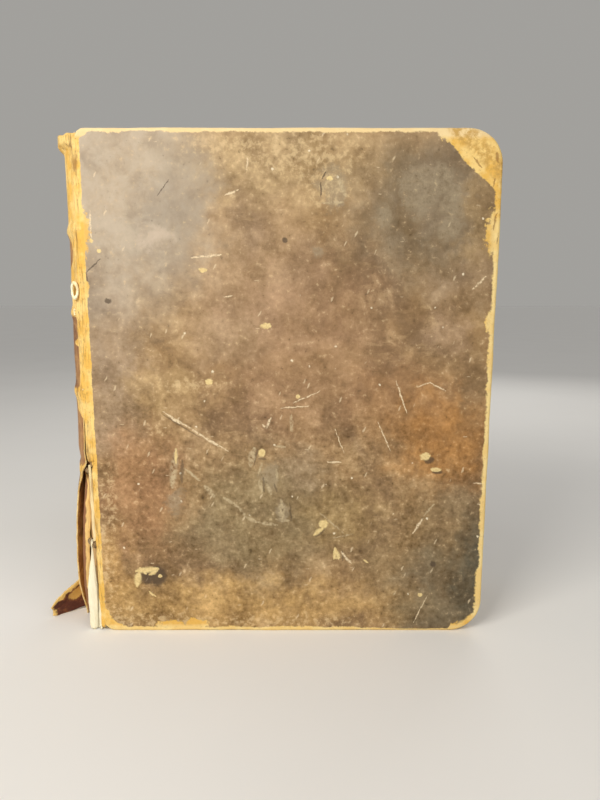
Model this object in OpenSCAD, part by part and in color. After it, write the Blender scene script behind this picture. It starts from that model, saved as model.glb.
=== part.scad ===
// A large old family bible in a full leather binding, standing on its tail with the front cover towards -Y.
// X runs from the spine to the fore-edge and Z from the tail to the head, with the origin under the middle.
// The front joint is split at the tail, and the loose leather stands out from the spine as a torn flap.

/* [Covers] */
// Height of a cover from tail to head
cover_h = 290; // [230:1:350]
// Width of a cover from joint to fore-edge
cover_w = 229; // [180:1:280]
// Thickness of the pasteboard in a cover
board_t = 3.4; // [2:0.1:6]
// Radius of the worn corners at the fore-edge
fore_corner_r = 19; // [8:0.5:28]
// Radius of the tail corner at the joint
tail_corner_r = 9; // [5:0.5:24]
// Radius of the head corner at the joint
head_corner_r = 5; // [3:0.5:24]
// Distance from the joint edge to the holes that the cords are laced through
lace_inset = 9; // [6:0.5:15]

/* [Leather] */
// Thickness of the covering leather
leather_t = 0.9; // [0.7:0.1:1.4]
// Thickness of the pared leather turned in over the boards
turn_in_t = 0.5; // [0.3:0.1:0.8]
// Width of the turn-ins on the inner side of a board
turn_in_w = 14; // [10:0.5:24]
// Width of paper pasted down over the turn-ins
paste_lap = 6; // [3:0.5:9]
// Leg of the corner patch of the front cover that is rubbed to raw leather
rubbed_leg = 34; // [26:0.5:50]
// Depth of leather lost in the rubbed patch
rubbed_depth = 0.4; // [0.2:0.05:0.5]

/* [Paper] */
// Thickness of the text block between the endpapers
block_t = 61; // [40:1:80]
// Overhang of the covers past the pages at head, tail and fore-edge
square_w = 4; // [2:0.5:7]
// Depth of the hollow in the fore-edge
fore_hollow = 7; // [4:0.5:12]
// Width of the flat land on each side of the hollow
hollow_land = 1.5; // [1:0.5:4]
// Thickness of an endpaper, a pasted pair of leaves
endpaper_t = 0.4; // [0.3:0.1:0.8]

/* [Spine] */
// Depth of the rounded spine behind its two ends
spine_round = 14; // [10:0.5:18]
// Width of the flexible joint between the spine and a board
joint_gap = 3; // [2:0.25:5]
// Thickness of the paper lining between the cords
lining_t = 0.4; // [0.3:0.1:0.6]
// Diameter of a sewing cord
cord_d = 4.2; // [3.6:0.1:5]
// Number of sewing cords and raised bands
band_count = 5; // [3:1:6]
// Height of the middle of the lowest band above the tail
tail_panel = 54; // [48:1:60]
// Distance from the middle of the highest band to the head
head_panel = 52; // [40:1:60]
// Width of a raised band at its foot
ridge_w = 11; // [10:0.5:14]
// Distance that the headcap flares out from the spine
cap_flare = 3; // [1:0.5:6]
// Height of the flared headcap
cap_h = 10; // [6:0.5:16]
// Diameter of an endband
endband_d = 3.2; // [2:0.1:3.6]

/* [Damage] */
// Height of the top of the split in the front joint
split_top = 106; // [95:1:130]
// Distance from the joint edge of the boards to the tip of the torn flap
flap_reach = 40; // [30:0.5:50]
// Height of the torn flap at the spine
flap_h = 24; // [16:0.5:32]
// Height of the torn flap at its tip
flap_tip_h = 5; // [3:0.5:10]
// Thickness of the folded endleaf stub in the split
stub_t = 1; // [0.6:0.1:1.5]

/* [Fits] */
// Gap left by the paste between pieces that are glued
glue_gap = 0.1; // [0.05:0.01:0.15]
// Gap between the spine leather and the lining that it has come away from
spine_gap = 0.8; // [0.6:0.05:1]
// Gap between a closed cover and the pages or the joint leather
cover_gap = 0.35; // [0.3:0.05:0.6]
// Distance that the ends of the spine lie below the outer face of a cover
flank_gap = 0.8; // [0.7:0.05:1.2]

/* [Hidden] */
$fn = 96;

leather_color = [0.47, 0.36, 0.26];
raw_leather_color = [0.72, 0.55, 0.30];
pasteboard_color = [0.62, 0.55, 0.43];
page_color = [0.83, 0.75, 0.60];
endpaper_color = [0.87, 0.81, 0.68];
cord_color = [0.66, 0.56, 0.38];
endband_color = [0.60, 0.47, 0.33];

// Overrun of every cut past the face that it opens
cut_over = 2;
// Smallest radius of a corner drawn in from the edge
inner_corner_r = 1;
corner_steps = 8;
ridge_steps = 5;
cap_steps = 4;
cord_steps = 10;
flap_steps = 8;

// Share of the leather's thickness worn off each side of the joints
strip_worn_share = 0.25;
// Share of a cord's radius that its middle stands above the pages
cord_rise_share = 0.5;
// Shares of the spine's half thickness at the torn edge, the root of the flap, its bend and its tip
torn_edge_share = 0.6;
flap_root_share = 0.2;
flap_bend_share = 0.28;
flap_tip_share = 0.6;
// Share of the flap's reach past the spine at which it bends
flap_bend_reach_share = 0.45;
// Share of the split's height at which the torn edge reaches its full depth
torn_taper_share = 0.78;
// Shares of the spine's half thickness and of the joint at the inner side of the endleaf stub
stub_foot_share = 0.72;
stub_top_share = 0.6;

// Joint edge of the boards, set so that the origin lies midway between the flap's tip and the fore-edge
joint_x = (flap_reach - cover_w) / 2;
spine_end_x = joint_x - joint_gap;
fore_x = joint_x + cover_w - square_w;
block_low = square_w;
block_high = cover_h - square_w;

// Distances from the middle plane of the book, outwards through a cover
leaf_face = block_t / 2;
flyleaf_out = leaf_face + glue_gap + endpaper_t;
paste_in = flyleaf_out + cover_gap;
paste_out = paste_in + endpaper_t;
turn_in_face = paste_out + glue_gap;
pocket_in = turn_in_face + turn_in_t;
board_in = pocket_in + glue_gap;
board_out = board_in + board_t;
pocket_out = board_out + glue_gap;
cover_out = pocket_out + leather_t;

// Radii of the spine about one upright axis, inwards through the leather to the pages
flank = cover_out - flank_gap;
spine_r = (flank * flank + spine_round * spine_round) / (2 * spine_round);
spine_cx = spine_end_x - spine_round + spine_r;
leather_mid_r = spine_r - leather_t / 2;
leather_in_r = spine_r - leather_t;
lining_out_r = leather_in_r - spine_gap;
lining_in_r = lining_out_r - lining_t;
block_r = lining_in_r - glue_gap;
shoulder_y = ring_y(block_r, spine_end_x);

// Cords and the raised bands over them
cord_r = cord_d / 2;
cord_seat_r = block_r + glue_gap;
cord_mid_r = cord_seat_r + cord_rise_share * cord_r;
cord_top_r = cord_mid_r + cord_r;
ridge_top_r = cord_top_r + glue_gap + leather_t;
cord_y = flank - leather_t - glue_gap;
band_pitch = (cover_h - tail_panel - head_panel) / (band_count - 1);

// Endbands, which sit on the pages just inside the spine
endband_r = block_r - endband_d / 2;

// Hollow of the fore-edge
hollow_half = leaf_face - hollow_land;
hollow_r = (hollow_half * hollow_half + fore_hollow * fore_hollow) / (2 * fore_hollow);

// Torn flap, seen from above, and the endleaf stub
flap_root = [ring_x(leather_mid_r, flank * flap_root_share - leather_t), leather_t - flank * flap_root_share];
flap_tip = [joint_x - flap_reach, -flank * flap_tip_share];
flap_bend = [flap_root[0] + (flap_tip[0] - flap_root[0]) * flap_bend_reach_share, -flank * flap_bend_share];
stub_in_r = lining_out_r + glue_gap;
stub_out_r = spine_r + stub_t;
stub_top = tail_panel - cord_r - cover_gap;

// Distance of a point on the spine from the middle plane, and its place along X
function ring_y(r, x) = sqrt(r * r - (spine_cx - x) * (spine_cx - x));
function ring_x(r, y) = spine_cx - sqrt(r * r - y * y);
// Angle of an arc of radius r that reaches to the distance y on both sides of the middle plane
function sweep_to(y, r) = 2 * asin(y / r);
// Height of the middle of a band
function band_z(i) = tail_panel + (i - 1) * band_pitch;
// Smooth swelling from 0 at u = -1 to 1 in the middle and back to 0 at u = 1
function swell(u) = (1 + cos(180 * u)) / 2;
function drawn_in(r, margin) = max(r - margin, inner_corner_r);

function corner(cx, cz, r, from) =
    [for (i = [0:corner_steps]) let (a = from + 90 * i / corner_steps) [cx + r * cos(a), cz + r * sin(a)]];

// Outline of a cover in X and Z, drawn in at head, tail and fore-edge and separately at the joint
function cover_outline(margin, joint_margin) =
    let (
        left = joint_x + joint_margin,
        right = joint_x + cover_w - margin,
        high = cover_h - margin,
        fore_r = drawn_in(fore_corner_r, margin),
        tail_r = drawn_in(tail_corner_r, margin),
        head_r = drawn_in(head_corner_r, margin)
    )
    concat(
        corner(left + tail_r, margin + tail_r, tail_r, 180),
        corner(right - fore_r, margin + fore_r, fore_r, 270),
        corner(right - fore_r, high - fore_r, fore_r, 0),
        corner(left + head_r, high - head_r, head_r, 90)
    );

// Rounded section of a cord of radius r with its flat side at the radius seat, as radius and height
function cord_section(r, seat) =
    let (dip = asin((cord_mid_r - seat) / r))
    [
        for (k = [0:cord_steps])
            let (a = 180 + dip - (180 + 2 * dip) * k / cord_steps)
            [cord_mid_r + r * sin(a), r * cos(a)]
    ];

// Place and direction along the middle of the torn flap, from its root at t = 0 to its tip at t = 1
function flap_at(t) = (1 - t) * (1 - t) * flap_root + 2 * t * (1 - t) * flap_bend + t * t * flap_tip;
function flap_way(t) = (1 - t) * (flap_bend - flap_root) + t * (flap_tip - flap_bend);
function flap_side(t, offset) = let (w = flap_way(t) / norm(flap_way(t))) flap_at(t) + offset * [-w[1], w[0]];

// A layer of a cover drawn in X and Z, between two distances from the middle plane
module layer(near, far) {
    translate([0, -near, 0])
        rotate([90, 0, 0])
            linear_extrude(far - near)
                children();
}

// An arc about the spine's axis, reaching to the distance y on both sides at the radius r
module spine_arc(y, r) {
    translate([spine_cx, 0, 0])
        rotate([0, 0, 180 - sweep_to(y, r) / 2])
            rotate_extrude(angle = sweep_to(y, r))
                children();
}

module lace_places() {
    for (i = [1:band_count])
        translate([joint_x + lace_inset, 0, band_z(i)])
            children();
}

module board() {
    difference() {
        layer(board_in, board_out)
            polygon(cover_outline(leather_t + glue_gap, 0));
        lace_places()
            layer(board_in - cut_over, board_out + cut_over)
                circle(r = cord_r + glue_gap);
    }
}

module front_board() {
    color(pasteboard_color)
        board();
}

module back_board() {
    color(pasteboard_color)
        mirror([0, 1, 0])
            board();
}

// Leather over the outer face and three edges of a board, turned in over its inner face
module cover_leather() {
    difference() {
        layer(turn_in_face, cover_out)
            polygon(cover_outline(0, 0));
        layer(pocket_in, pocket_out)
            polygon(cover_outline(leather_t, -cut_over));
        layer(turn_in_face - cut_over, board_in)
            polygon(cover_outline(turn_in_w, -cut_over));
    }
}

module front_leather() {
    right = joint_x + cover_w;
    color(leather_color)
        difference() {
            cover_leather();
            layer(cover_out - rubbed_depth, cover_out + cut_over)
                polygon([
                    [right - rubbed_leg - cut_over, cover_h + cut_over],
                    [right + cut_over, cover_h - rubbed_leg - cut_over],
                    [right + cut_over, cover_h + cut_over]
                ]);
        }
}

module back_leather() {
    color(leather_color)
        mirror([0, 1, 0])
            cover_leather();
}

// Paper pasted to the board inside the turn-ins and lapped over them
module pastedown() {
    layer(paste_in, paste_out)
        polygon(cover_outline(turn_in_w - paste_lap, joint_gap));
    layer(paste_in, board_in - glue_gap)
        polygon(cover_outline(turn_in_w + glue_gap, joint_gap));
}

module front_pastedown() {
    color(endpaper_color)
        pastedown();
}

module back_pastedown() {
    color(endpaper_color)
        mirror([0, 1, 0])
            pastedown();
}

module lacing_slips() {
    lace_places()
        layer(board_in, board_out)
            circle(r = cord_r);
}

module front_lacing_slips() {
    color(cord_color)
        lacing_slips();
}

module back_lacing_slips() {
    color(cord_color)
        mirror([0, 1, 0])
            lacing_slips();
}

// All the pages as one solid, rounded at the spine and hollow at the fore-edge
module text_block() {
    color(page_color)
        translate([0, 0, block_low])
            linear_extrude(block_high - block_low)
                difference() {
                    union() {
                        translate([spine_end_x - leather_t, -leaf_face])
                            square([fore_x - spine_end_x + leather_t, block_t]);
                        intersection() {
                            translate([spine_cx, 0])
                                circle(r = block_r);
                            translate([spine_end_x - 2 * spine_round, -2 * flank])
                                square([2 * spine_round, 4 * flank]);
                        }
                    }
                    translate([fore_x - fore_hollow + hollow_r, 0])
                        circle(r = hollow_r);
                }
}

module flyleaf() {
    layer(leaf_face + glue_gap, flyleaf_out)
        translate([spine_end_x + glue_gap, block_low])
            square([fore_x - spine_end_x - 2 * glue_gap, block_high - block_low]);
}

module front_flyleaf() {
    color(endpaper_color)
        flyleaf();
}

module back_flyleaf() {
    color(endpaper_color)
        mirror([0, 1, 0])
            flyleaf();
}

// Folded stub of a torn endleaf, standing in the split of the front joint
module endleaf_stub() {
    outer_angle = asin(flank / stub_out_r);
    inner_angle = asin(flank * stub_foot_share / stub_out_r);
    foot_x = ring_x(stub_out_r, flank * stub_foot_share);
    top_x = spine_end_x - joint_gap * stub_top_share;
    color(endpaper_color)
        intersection() {
            translate([spine_cx, 0, 0])
                rotate([0, 0, 180 + inner_angle])
                    rotate_extrude(angle = outer_angle - inner_angle)
                        translate([stub_in_r, 0])
                            square([stub_out_r - stub_in_r, stub_top]);
            layer(0, cover_out)
                polygon([[foot_x, 0], [joint_x, 0], [joint_x, stub_top], [top_x, stub_top], [foot_x, square_w]]);
        }
}

module spine_lining() {
    cord_room = cord_r + glue_gap;
    color(endpaper_color)
        for (i = [0:band_count]) {
            low = i == 0 ? block_low : band_z(i) + cord_room;
            high = i == band_count ? block_high : band_z(i + 1) - cord_room;
            spine_arc(shoulder_y, block_r)
                translate([lining_in_r, low])
                    square([lining_t, high - low]);
        }
}

module sewing_cord(i) {
    color(cord_color)
        translate([0, 0, band_z(i)])
            spine_arc(cord_y, cord_top_r)
                polygon(cord_section(cord_r, cord_seat_r));
}

module endband(z) {
    color(endband_color)
        translate([0, 0, z])
            spine_arc(leaf_face, endband_r)
                translate([endband_r, 0])
                    circle(d = endband_d);
}

module head_endband() {
    endband(block_high + glue_gap + endband_d / 2);
}

module tail_endband() {
    endband(block_low - glue_gap - endband_d / 2);
}

// Space that the spine's leather has between the two joints
module spine_room() {
    reach = spine_round + cap_flare + cut_over;
    room_y = flank + flank_gap / 2;
    translate([spine_end_x - reach, -room_y, 0])
        cube([reach, 2 * room_y, cover_h]);
}

// Leather of the spine between the joints, with its raised bands and flared at the head
module spine_shell() {
    flare = [for (k = [0:cap_steps]) k / cap_steps];
    spine_arc(spine_r, spine_r)
        polygon(concat(
            [[leather_in_r, 0], [spine_r, 0]],
            [for (s = flare) [spine_r + cap_flare * s * s, cover_h - cap_h * (1 - s)]],
            [for (s = flare) [leather_in_r + cap_flare * (1 - s) * (1 - s), cover_h - cap_h * s]]
        ));
    for (i = [1:band_count])
        translate([0, 0, band_z(i)])
            spine_arc(ridge_top_r, ridge_top_r)
                polygon([
                    for (k = [-ridge_steps:ridge_steps])
                        let (u = k / ridge_steps)
                        [leather_mid_r + (ridge_top_r - leather_mid_r) * swell(u), u * ridge_w / 2]
                ]);
}

module cord_channels() {
    for (i = [1:band_count])
        translate([0, 0, band_z(i)])
            spine_arc(cord_top_r, cord_top_r)
                polygon(cord_section(cord_r + glue_gap, lining_in_r));
}

// Leather across the front joint, from one height to another
module joint_strip(low, high) {
    lap_x = spine_end_x - leather_t;
    lost_t = leather_t * strip_worn_share;
    translate([0, 0, low])
        linear_extrude(high - low)
            polygon([
                [lap_x, -ring_y(leather_mid_r, lap_x)],
                [spine_end_x, lost_t - flank],
                [joint_x - cover_gap, lost_t - flank],
                [joint_x - cover_gap, leather_t - flank],
                [spine_end_x, -ring_y(leather_in_r, spine_end_x) - lost_t]
            ]);
}

// Part of the spine's front side that the leather has been torn from
module torn_away() {
    edge_y = -flank * torn_edge_share;
    root_y = -flank * flap_root_share;
    free_y = -flank - cut_over;
    translate([spine_end_x - 2 * spine_round, 0, 0])
        rotate([90, 0, 90])
            linear_extrude(2 * spine_round + cut_over)
                polygon([
                    [free_y, -cut_over],
                    [root_y, -cut_over],
                    [root_y, flap_h],
                    [edge_y, flap_h],
                    [edge_y, split_top * torn_taper_share],
                    [free_y, split_top]
                ]);
}

// Loose leather of the tail panel, opened outwards and resting on its lower edge
module torn_flap() {
    steps = [for (k = [0:flap_steps]) k / flap_steps];
    half_t = leather_t / 2;
    intersection() {
        linear_extrude(flap_h)
            polygon(concat(
                [for (t = steps) flap_side(t, half_t)],
                [for (t = steps) flap_side(1 - t, -half_t)]
            ));
        layer(0, cover_out)
            polygon([
                [flap_tip[0] - cut_over, 0],
                [spine_end_x, 0],
                [spine_end_x, flap_h],
                [flap_root[0], flap_h],
                [flap_tip[0], flap_tip_h],
                [flap_tip[0] - cut_over, flap_tip_h]
            ]);
    }
}

module spine_leather() {
    color(raw_leather_color) {
        difference() {
            union() {
                intersection() {
                    difference() {
                        spine_shell();
                        cord_channels();
                    }
                    spine_room();
                }
                joint_strip(split_top, cover_h - head_corner_r);
                mirror([0, 1, 0])
                    joint_strip(tail_corner_r, cover_h - head_corner_r);
            }
            torn_away();
        }
        torn_flap();
    }
}

front_board();
back_board();
front_leather();
back_leather();
spine_leather();
text_block();
front_flyleaf();
back_flyleaf();
front_pastedown();
back_pastedown();
endleaf_stub();
spine_lining();
head_endband();
tail_endband();
front_lacing_slips();
back_lacing_slips();
for (i = [1:band_count])
    sewing_cord(i);
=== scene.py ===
"""Looks of a large old family bible: worn calf over boards, a split and torn spine, and aged paper.

All sizes are in metres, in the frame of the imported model: X runs from the spine to the fore-edge,
Z runs from the tail to the head, and the front cover faces -Y.
"""
import logging
import math
from dataclasses import dataclass
from enum import Enum
from typing import Any, Sequence

import bmesh
import bpy
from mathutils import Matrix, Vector, noise


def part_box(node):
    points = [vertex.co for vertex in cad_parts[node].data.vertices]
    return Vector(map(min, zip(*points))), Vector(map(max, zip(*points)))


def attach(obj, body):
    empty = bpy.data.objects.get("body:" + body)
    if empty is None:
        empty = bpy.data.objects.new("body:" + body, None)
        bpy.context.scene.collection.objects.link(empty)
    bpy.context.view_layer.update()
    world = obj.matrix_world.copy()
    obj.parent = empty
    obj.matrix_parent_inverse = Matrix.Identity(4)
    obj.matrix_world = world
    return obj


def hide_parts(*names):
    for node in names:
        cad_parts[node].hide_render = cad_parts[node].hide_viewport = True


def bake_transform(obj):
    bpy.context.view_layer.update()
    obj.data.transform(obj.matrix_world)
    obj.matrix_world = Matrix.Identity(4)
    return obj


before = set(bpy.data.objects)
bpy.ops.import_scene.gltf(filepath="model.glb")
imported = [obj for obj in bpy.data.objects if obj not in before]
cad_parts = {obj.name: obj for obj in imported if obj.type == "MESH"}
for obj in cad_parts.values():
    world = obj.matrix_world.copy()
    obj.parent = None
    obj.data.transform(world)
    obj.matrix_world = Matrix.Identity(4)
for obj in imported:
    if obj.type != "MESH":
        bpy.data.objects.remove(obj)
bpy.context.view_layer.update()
log = logging.getLogger("family_bible")

Colour = tuple[float, float, float]
Pixel = tuple[float, float]
Socket = bpy.types.NodeSocket
Mesh = bmesh.types.BMesh
Knots = tuple[tuple[float, float], ...]
MM = 0.001


def smooth(low: float, high: float, value: float) -> float:
    """Rise smoothly from 0 at low to 1 at high, or the other way round if low is above high."""
    t = min(max((value - low) / (high - low), 0.0), 1.0)
    return t * t * (3.0 - 2.0 * t)


def lerp(start: float, end: float, share: float) -> float:
    """Value at a share of the way from start to end."""
    return start + (end - start) * share


def along(knots: Knots, place: float) -> float:
    """Find the value at a place on a line through knots.

    Args:
        knots: Places and values, in rising order of place.
        place: Where to look.

    Returns:
        The value there.
    """
    for (low, low_value), (high, high_value) in zip(knots, knots[1:]):
        if place <= high:
            return lerp(low_value, high_value, min(max((place - low) / (high - low), 0.0), 1.0))
    return knots[-1][1]


def ripple(place: Sequence[float], scale: float, seed: float = 0.0) -> float:
    """Smooth noise between about -1 and 1.

    Args:
        place: Point in metres.
        scale: Ripples per metre.
        seed: Shift that gives another pattern.

    Returns:
        The noise at that point.
    """
    return noise.noise(Vector(place) * scale + Vector((seed, seed * 0.7, -seed)))


def ripple_up(z: float, scale: float, seed: float = 0.0) -> float:
    """Smooth noise that changes with height alone."""
    return ripple((0.0, 0.0, z), scale, seed)


class Side(Enum):
    """The two covers, by the direction that they face along Y."""

    FRONT = -1
    BACK = 1


@dataclass(frozen=True)
class Viewpoint:
    """Camera that sees the book from where the photo was taken."""

    place: tuple[float, float, float] = (0.0249, -0.37565, 0.198)
    pitch: float = math.radians(9.26)
    lens: float = 27.0
    sensor: float = 36.0
    picture: tuple[int, int] = (600, 800)

    @property
    def focal(self) -> float:
        """Focal length in pixels of the photo."""
        return self.lens / self.sensor * max(self.picture)

    def on_plane(self, pixel: Pixel, y: float) -> Vector:
        """Find the point of an upright plane that a pixel of the photo shows.

        Args:
            pixel: Column and row in the photo.
            y: Place of the plane.

        Returns:
            The point in the frame.
        """
        right = (pixel[0] - self.picture[0] / 2) / self.focal
        down = (pixel[1] - self.picture[1] / 2) / self.focal
        ray = Vector((
            right,
            math.cos(self.pitch) - down * math.sin(self.pitch),
            -math.sin(self.pitch) - down * math.cos(self.pitch),
        ))
        return Vector(self.place) + ray * ((y - self.place[1]) / ray.y)

    def pixel_size(self, y: float) -> float:
        """Length that one pixel of the photo spans on an upright plane."""
        return (y - self.place[1]) / self.focal

    def add(self) -> None:
        """Put the camera into the scene."""
        data = bpy.data.cameras.new("photo_camera")
        data.lens = self.lens
        data.sensor_width = self.sensor
        data.clip_start = 0.01
        camera = bpy.data.objects.new("photo_camera", data)
        camera.location = self.place
        camera.rotation_euler = (math.pi / 2 - self.pitch, 0.0, 0.0)
        bpy.context.scene.collection.objects.link(camera)
        bpy.context.scene.camera = camera


VIEW = Viewpoint()


class Graph:
    """A node tree written as short expressions, for a material or for a group."""

    def __init__(self, tree: bpy.types.NodeTree) -> None:
        """Write into an empty tree."""
        self.tree = tree
        self.tree.nodes.clear()

    def node(self, kind: str, feeds: dict[Any, Any] | None = None, **settings: Any) -> bpy.types.Node:
        """Add a node.

        Args:
            kind: Blender's name for the type of node.
            feeds: Values or sockets for its inputs, by name or number.
            **settings: Properties of the node.

        Returns:
            The new node.
        """
        made = self.tree.nodes.new(kind)
        for name, value in settings.items():
            setattr(made, name, value)
        for key, value in (feeds or {}).items():
            self.feed(made.inputs[key], value)
        return made

    def feed(self, socket: Socket, value: Any) -> None:
        """Link a socket to an input, or set the input to a plain value.

        Args:
            socket: The input.
            value: Socket or plain value for it.
        """
        if isinstance(value, Socket):
            self.tree.links.new(value, socket)
        elif socket.type == "RGBA":
            socket.default_value = (*value, 1.0)
        else:
            socket.default_value = value

    def math(self, operation: str, *values: Any) -> Socket:
        """Work out a number from other numbers."""
        return self.node("ShaderNodeMath", dict(enumerate(values)), operation=operation).outputs[0]

    def times(self, value: Any, factor: Any) -> Socket:
        """Multiply two numbers."""
        return self.math("MULTIPLY", value, factor)

    def plus(self, value: Any, factor: Any, more: Any) -> Socket:
        """Multiply two numbers and add a third."""
        return self.math("MULTIPLY_ADD", value, factor, more)

    def vector(self, operation: str, *values: Any) -> Socket:
        """Work out a vector, or a number from vectors.

        Args:
            operation: Blender's name for the operation.
            *values: Vectors or sockets.

        Returns:
            Socket of the result.
        """
        made = self.node("ShaderNodeVectorMath", dict(enumerate(values)), operation=operation)
        number = operation in {"LENGTH", "DOT_PRODUCT", "DISTANCE"}
        return made.outputs["Value" if number else "Vector"]

    def scaled(self, vector: Any, share: Any) -> Socket:
        """Scale a vector by one number."""
        made = self.node("ShaderNodeVectorMath", {0: vector, "Scale": share}, operation="SCALE")
        return made.outputs["Vector"]

    def ramp(self, value: Any, low: Any, high: Any) -> Socket:
        """Rise smoothly from 0 at low to 1 at high."""
        feeds = {0: value, 1: low, 2: high}
        return self.node("ShaderNodeMapRange", feeds, interpolation_type="SMOOTHSTEP").outputs[0]

    def mix(self, share: Any, first: Any, second: Any, blend: str = "MIX") -> Socket:
        """Mix two colours."""
        feeds = {0: share, 6: first, 7: second}
        return self.node("ShaderNodeMix", feeds, data_type="RGBA", blend_type=blend).outputs[2]

    def tint(self, mask: Any, strength: Any, first: Any, second: Any) -> Socket:
        """Lay a second colour over a first where a mask is, at a strength."""
        return self.mix(self.times(mask, strength), first, second)

    def shaded(self, colour: Any, shade: Any) -> Socket:
        """Multiply a colour by one number."""
        grey = self.node("ShaderNodeCombineColor", {0: shade, 1: shade, 2: shade}).outputs[0]
        return self.mix(1.0, colour, grey, "MULTIPLY")

    def noise(
        self, vector: Any, scale: Any, detail: float = 3.0, roughness: float = 0.5,
        distortion: float = 0.0, output: int = 0,
    ) -> Socket:
        """Add a noise texture, with a value in output 0 and a colour in output 1."""
        feeds = {"Vector": vector, "Scale": scale, "Detail": detail, "Roughness": roughness}
        return self.node("ShaderNodeTexNoise", {**feeds, "Distortion": distortion}).outputs[output]

    def cells(self, vector: Any, scale: Any) -> bpy.types.Node:
        """Add a cell texture, with the distance to a cell's point and a colour per cell."""
        return self.node("ShaderNodeTexVoronoi", {"Vector": vector, "Scale": scale})

    def place(self) -> Socket:
        """Place on the object, in metres."""
        return self.node("ShaderNodeTexCoord").outputs["Object"]

    def attribute(self, name: str) -> Socket:
        """Number kept on the points of the mesh."""
        return self.node("ShaderNodeAttribute", attribute_name=name).outputs["Fac"]

    def stretched(self, vector: Any, shares: tuple[float, float, float]) -> Socket:
        """Scale a vector along each axis."""
        return self.vector("MULTIPLY", vector, shares)

    def group(self, effect: "Effect", **values: Any) -> bpy.types.Node:
        """Place an effect shared by several materials.

        Args:
            effect: The shared effect.
            **values: Its inputs, by name.

        Returns:
            The group's node.
        """
        made = self.node("ShaderNodeGroup", node_tree=effect.tree())
        for name, value in values.items():
            self.feed(made.inputs[name], value)
        return made

    def surface(self, bump: tuple[Any, float, float] | None = None, **sockets: Any) -> None:
        """End a material's tree in its shader.

        Args:
            bump: Height, strength and distance of the relief, if it has one.
            **sockets: Inputs of the shader, with spaces written as underscores.
        """
        feeds = {name.replace("_", " "): value for name, value in sockets.items()}
        if bump:
            relief = self.node("ShaderNodeBump", dict(zip(("Height", "Strength", "Distance"), bump)))
            feeds["Normal"] = relief.outputs[0]
        shader = self.node("ShaderNodeBsdfPrincipled", feeds)
        self.node("ShaderNodeOutputMaterial", {0: shader.outputs[0]})


class Effect:
    """A shader node group that is built the first time that a material asks for it."""

    name = ""
    inputs: dict[str, str] = {}
    outputs: dict[str, str] = {}
    kinds = {"v": "NodeSocketVector", "f": "NodeSocketFloat", "c": "NodeSocketColor"}

    def tree(self) -> bpy.types.NodeTree:
        """Get the group, building it if it isn't there yet.

        Returns:
            The group's tree.
        """
        found = bpy.data.node_groups.get(self.name)
        if found:
            return found
        made = bpy.data.node_groups.new(self.name, "ShaderNodeTree")
        for way, sockets in (("INPUT", self.inputs), ("OUTPUT", self.outputs)):
            for name, kind in sockets.items():
                made.interface.new_socket(name=name, in_out=way, socket_type=self.kinds[kind])
        graph = Graph(made)
        start = graph.node("NodeGroupInput")
        results = self.build(graph, start.outputs)
        graph.node("NodeGroupOutput", results)
        return made

    def build(self, graph: Graph, given: Any) -> dict[str, Socket]:
        """Write the group's nodes and return the sockets of its outputs by name."""
        raise NotImplementedError


class Spot(Effect):
    """An oval spot about a point, hard or soft at its rim."""

    name = "spot"
    inputs = {"Vector": "v", "Centre": "v", "Size": "v", "Softness": "f", "Ragged": "f"}
    outputs = {"Mask": "f"}

    def build(self, graph: Graph, given: Any) -> dict[str, Socket]:
        """Measure how far a point lies from the centre, in sizes of the spot.

        Args:
            graph: Tree to write into.
            given: Sockets of the inputs, by name.

        Returns:
            Sockets of the outputs, by name.
        """
        away = graph.vector("SUBTRACT", given["Vector"], given["Centre"])
        far = graph.vector("LENGTH", graph.vector("DIVIDE", away, given["Size"]))
        far = graph.math("ADD", far, given["Ragged"])
        outer = graph.math("ADD", 1.0, given["Softness"])
        inner = graph.math("SUBTRACT", 1.0, given["Softness"])
        return {"Mask": graph.ramp(far, outer, inner)}


class Scratch(Effect):
    """A straight line mask between two points, thinner at its ends, for scratches and for lines of painted
    shadow.
    """

    name = "line_stroke"
    inputs = {"Vector": "v", "From": "v", "To": "v", "Width": "f"}
    outputs = {"Mask": "f"}

    def build(self, graph: Graph, given: Any) -> dict[str, Socket]:
        """Measure how far a point lies from the line between the ends.

        Args:
            graph: Tree to write into.
            given: Sockets of the inputs, by name.

        Returns:
            Sockets of the outputs, by name.
        """
        away = graph.vector("SUBTRACT", given["Vector"], given["From"])
        line = graph.vector("SUBTRACT", given["To"], given["From"])
        share = graph.vector("DOT_PRODUCT", away, line)
        share = graph.math("DIVIDE", share, graph.vector("DOT_PRODUCT", line, line))
        share = graph.math("MINIMUM", graph.math("MAXIMUM", share, 0.0), 1.0)
        far = graph.vector("DISTANCE", away, graph.scaled(line, share))
        pinch = graph.times(graph.math("SUBTRACT", 1.0, share), share)
        width = graph.times(given["Width"], graph.plus(pinch, 2.4, 0.4))
        return {"Mask": graph.ramp(far, width, graph.times(width, 0.25))}


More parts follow.
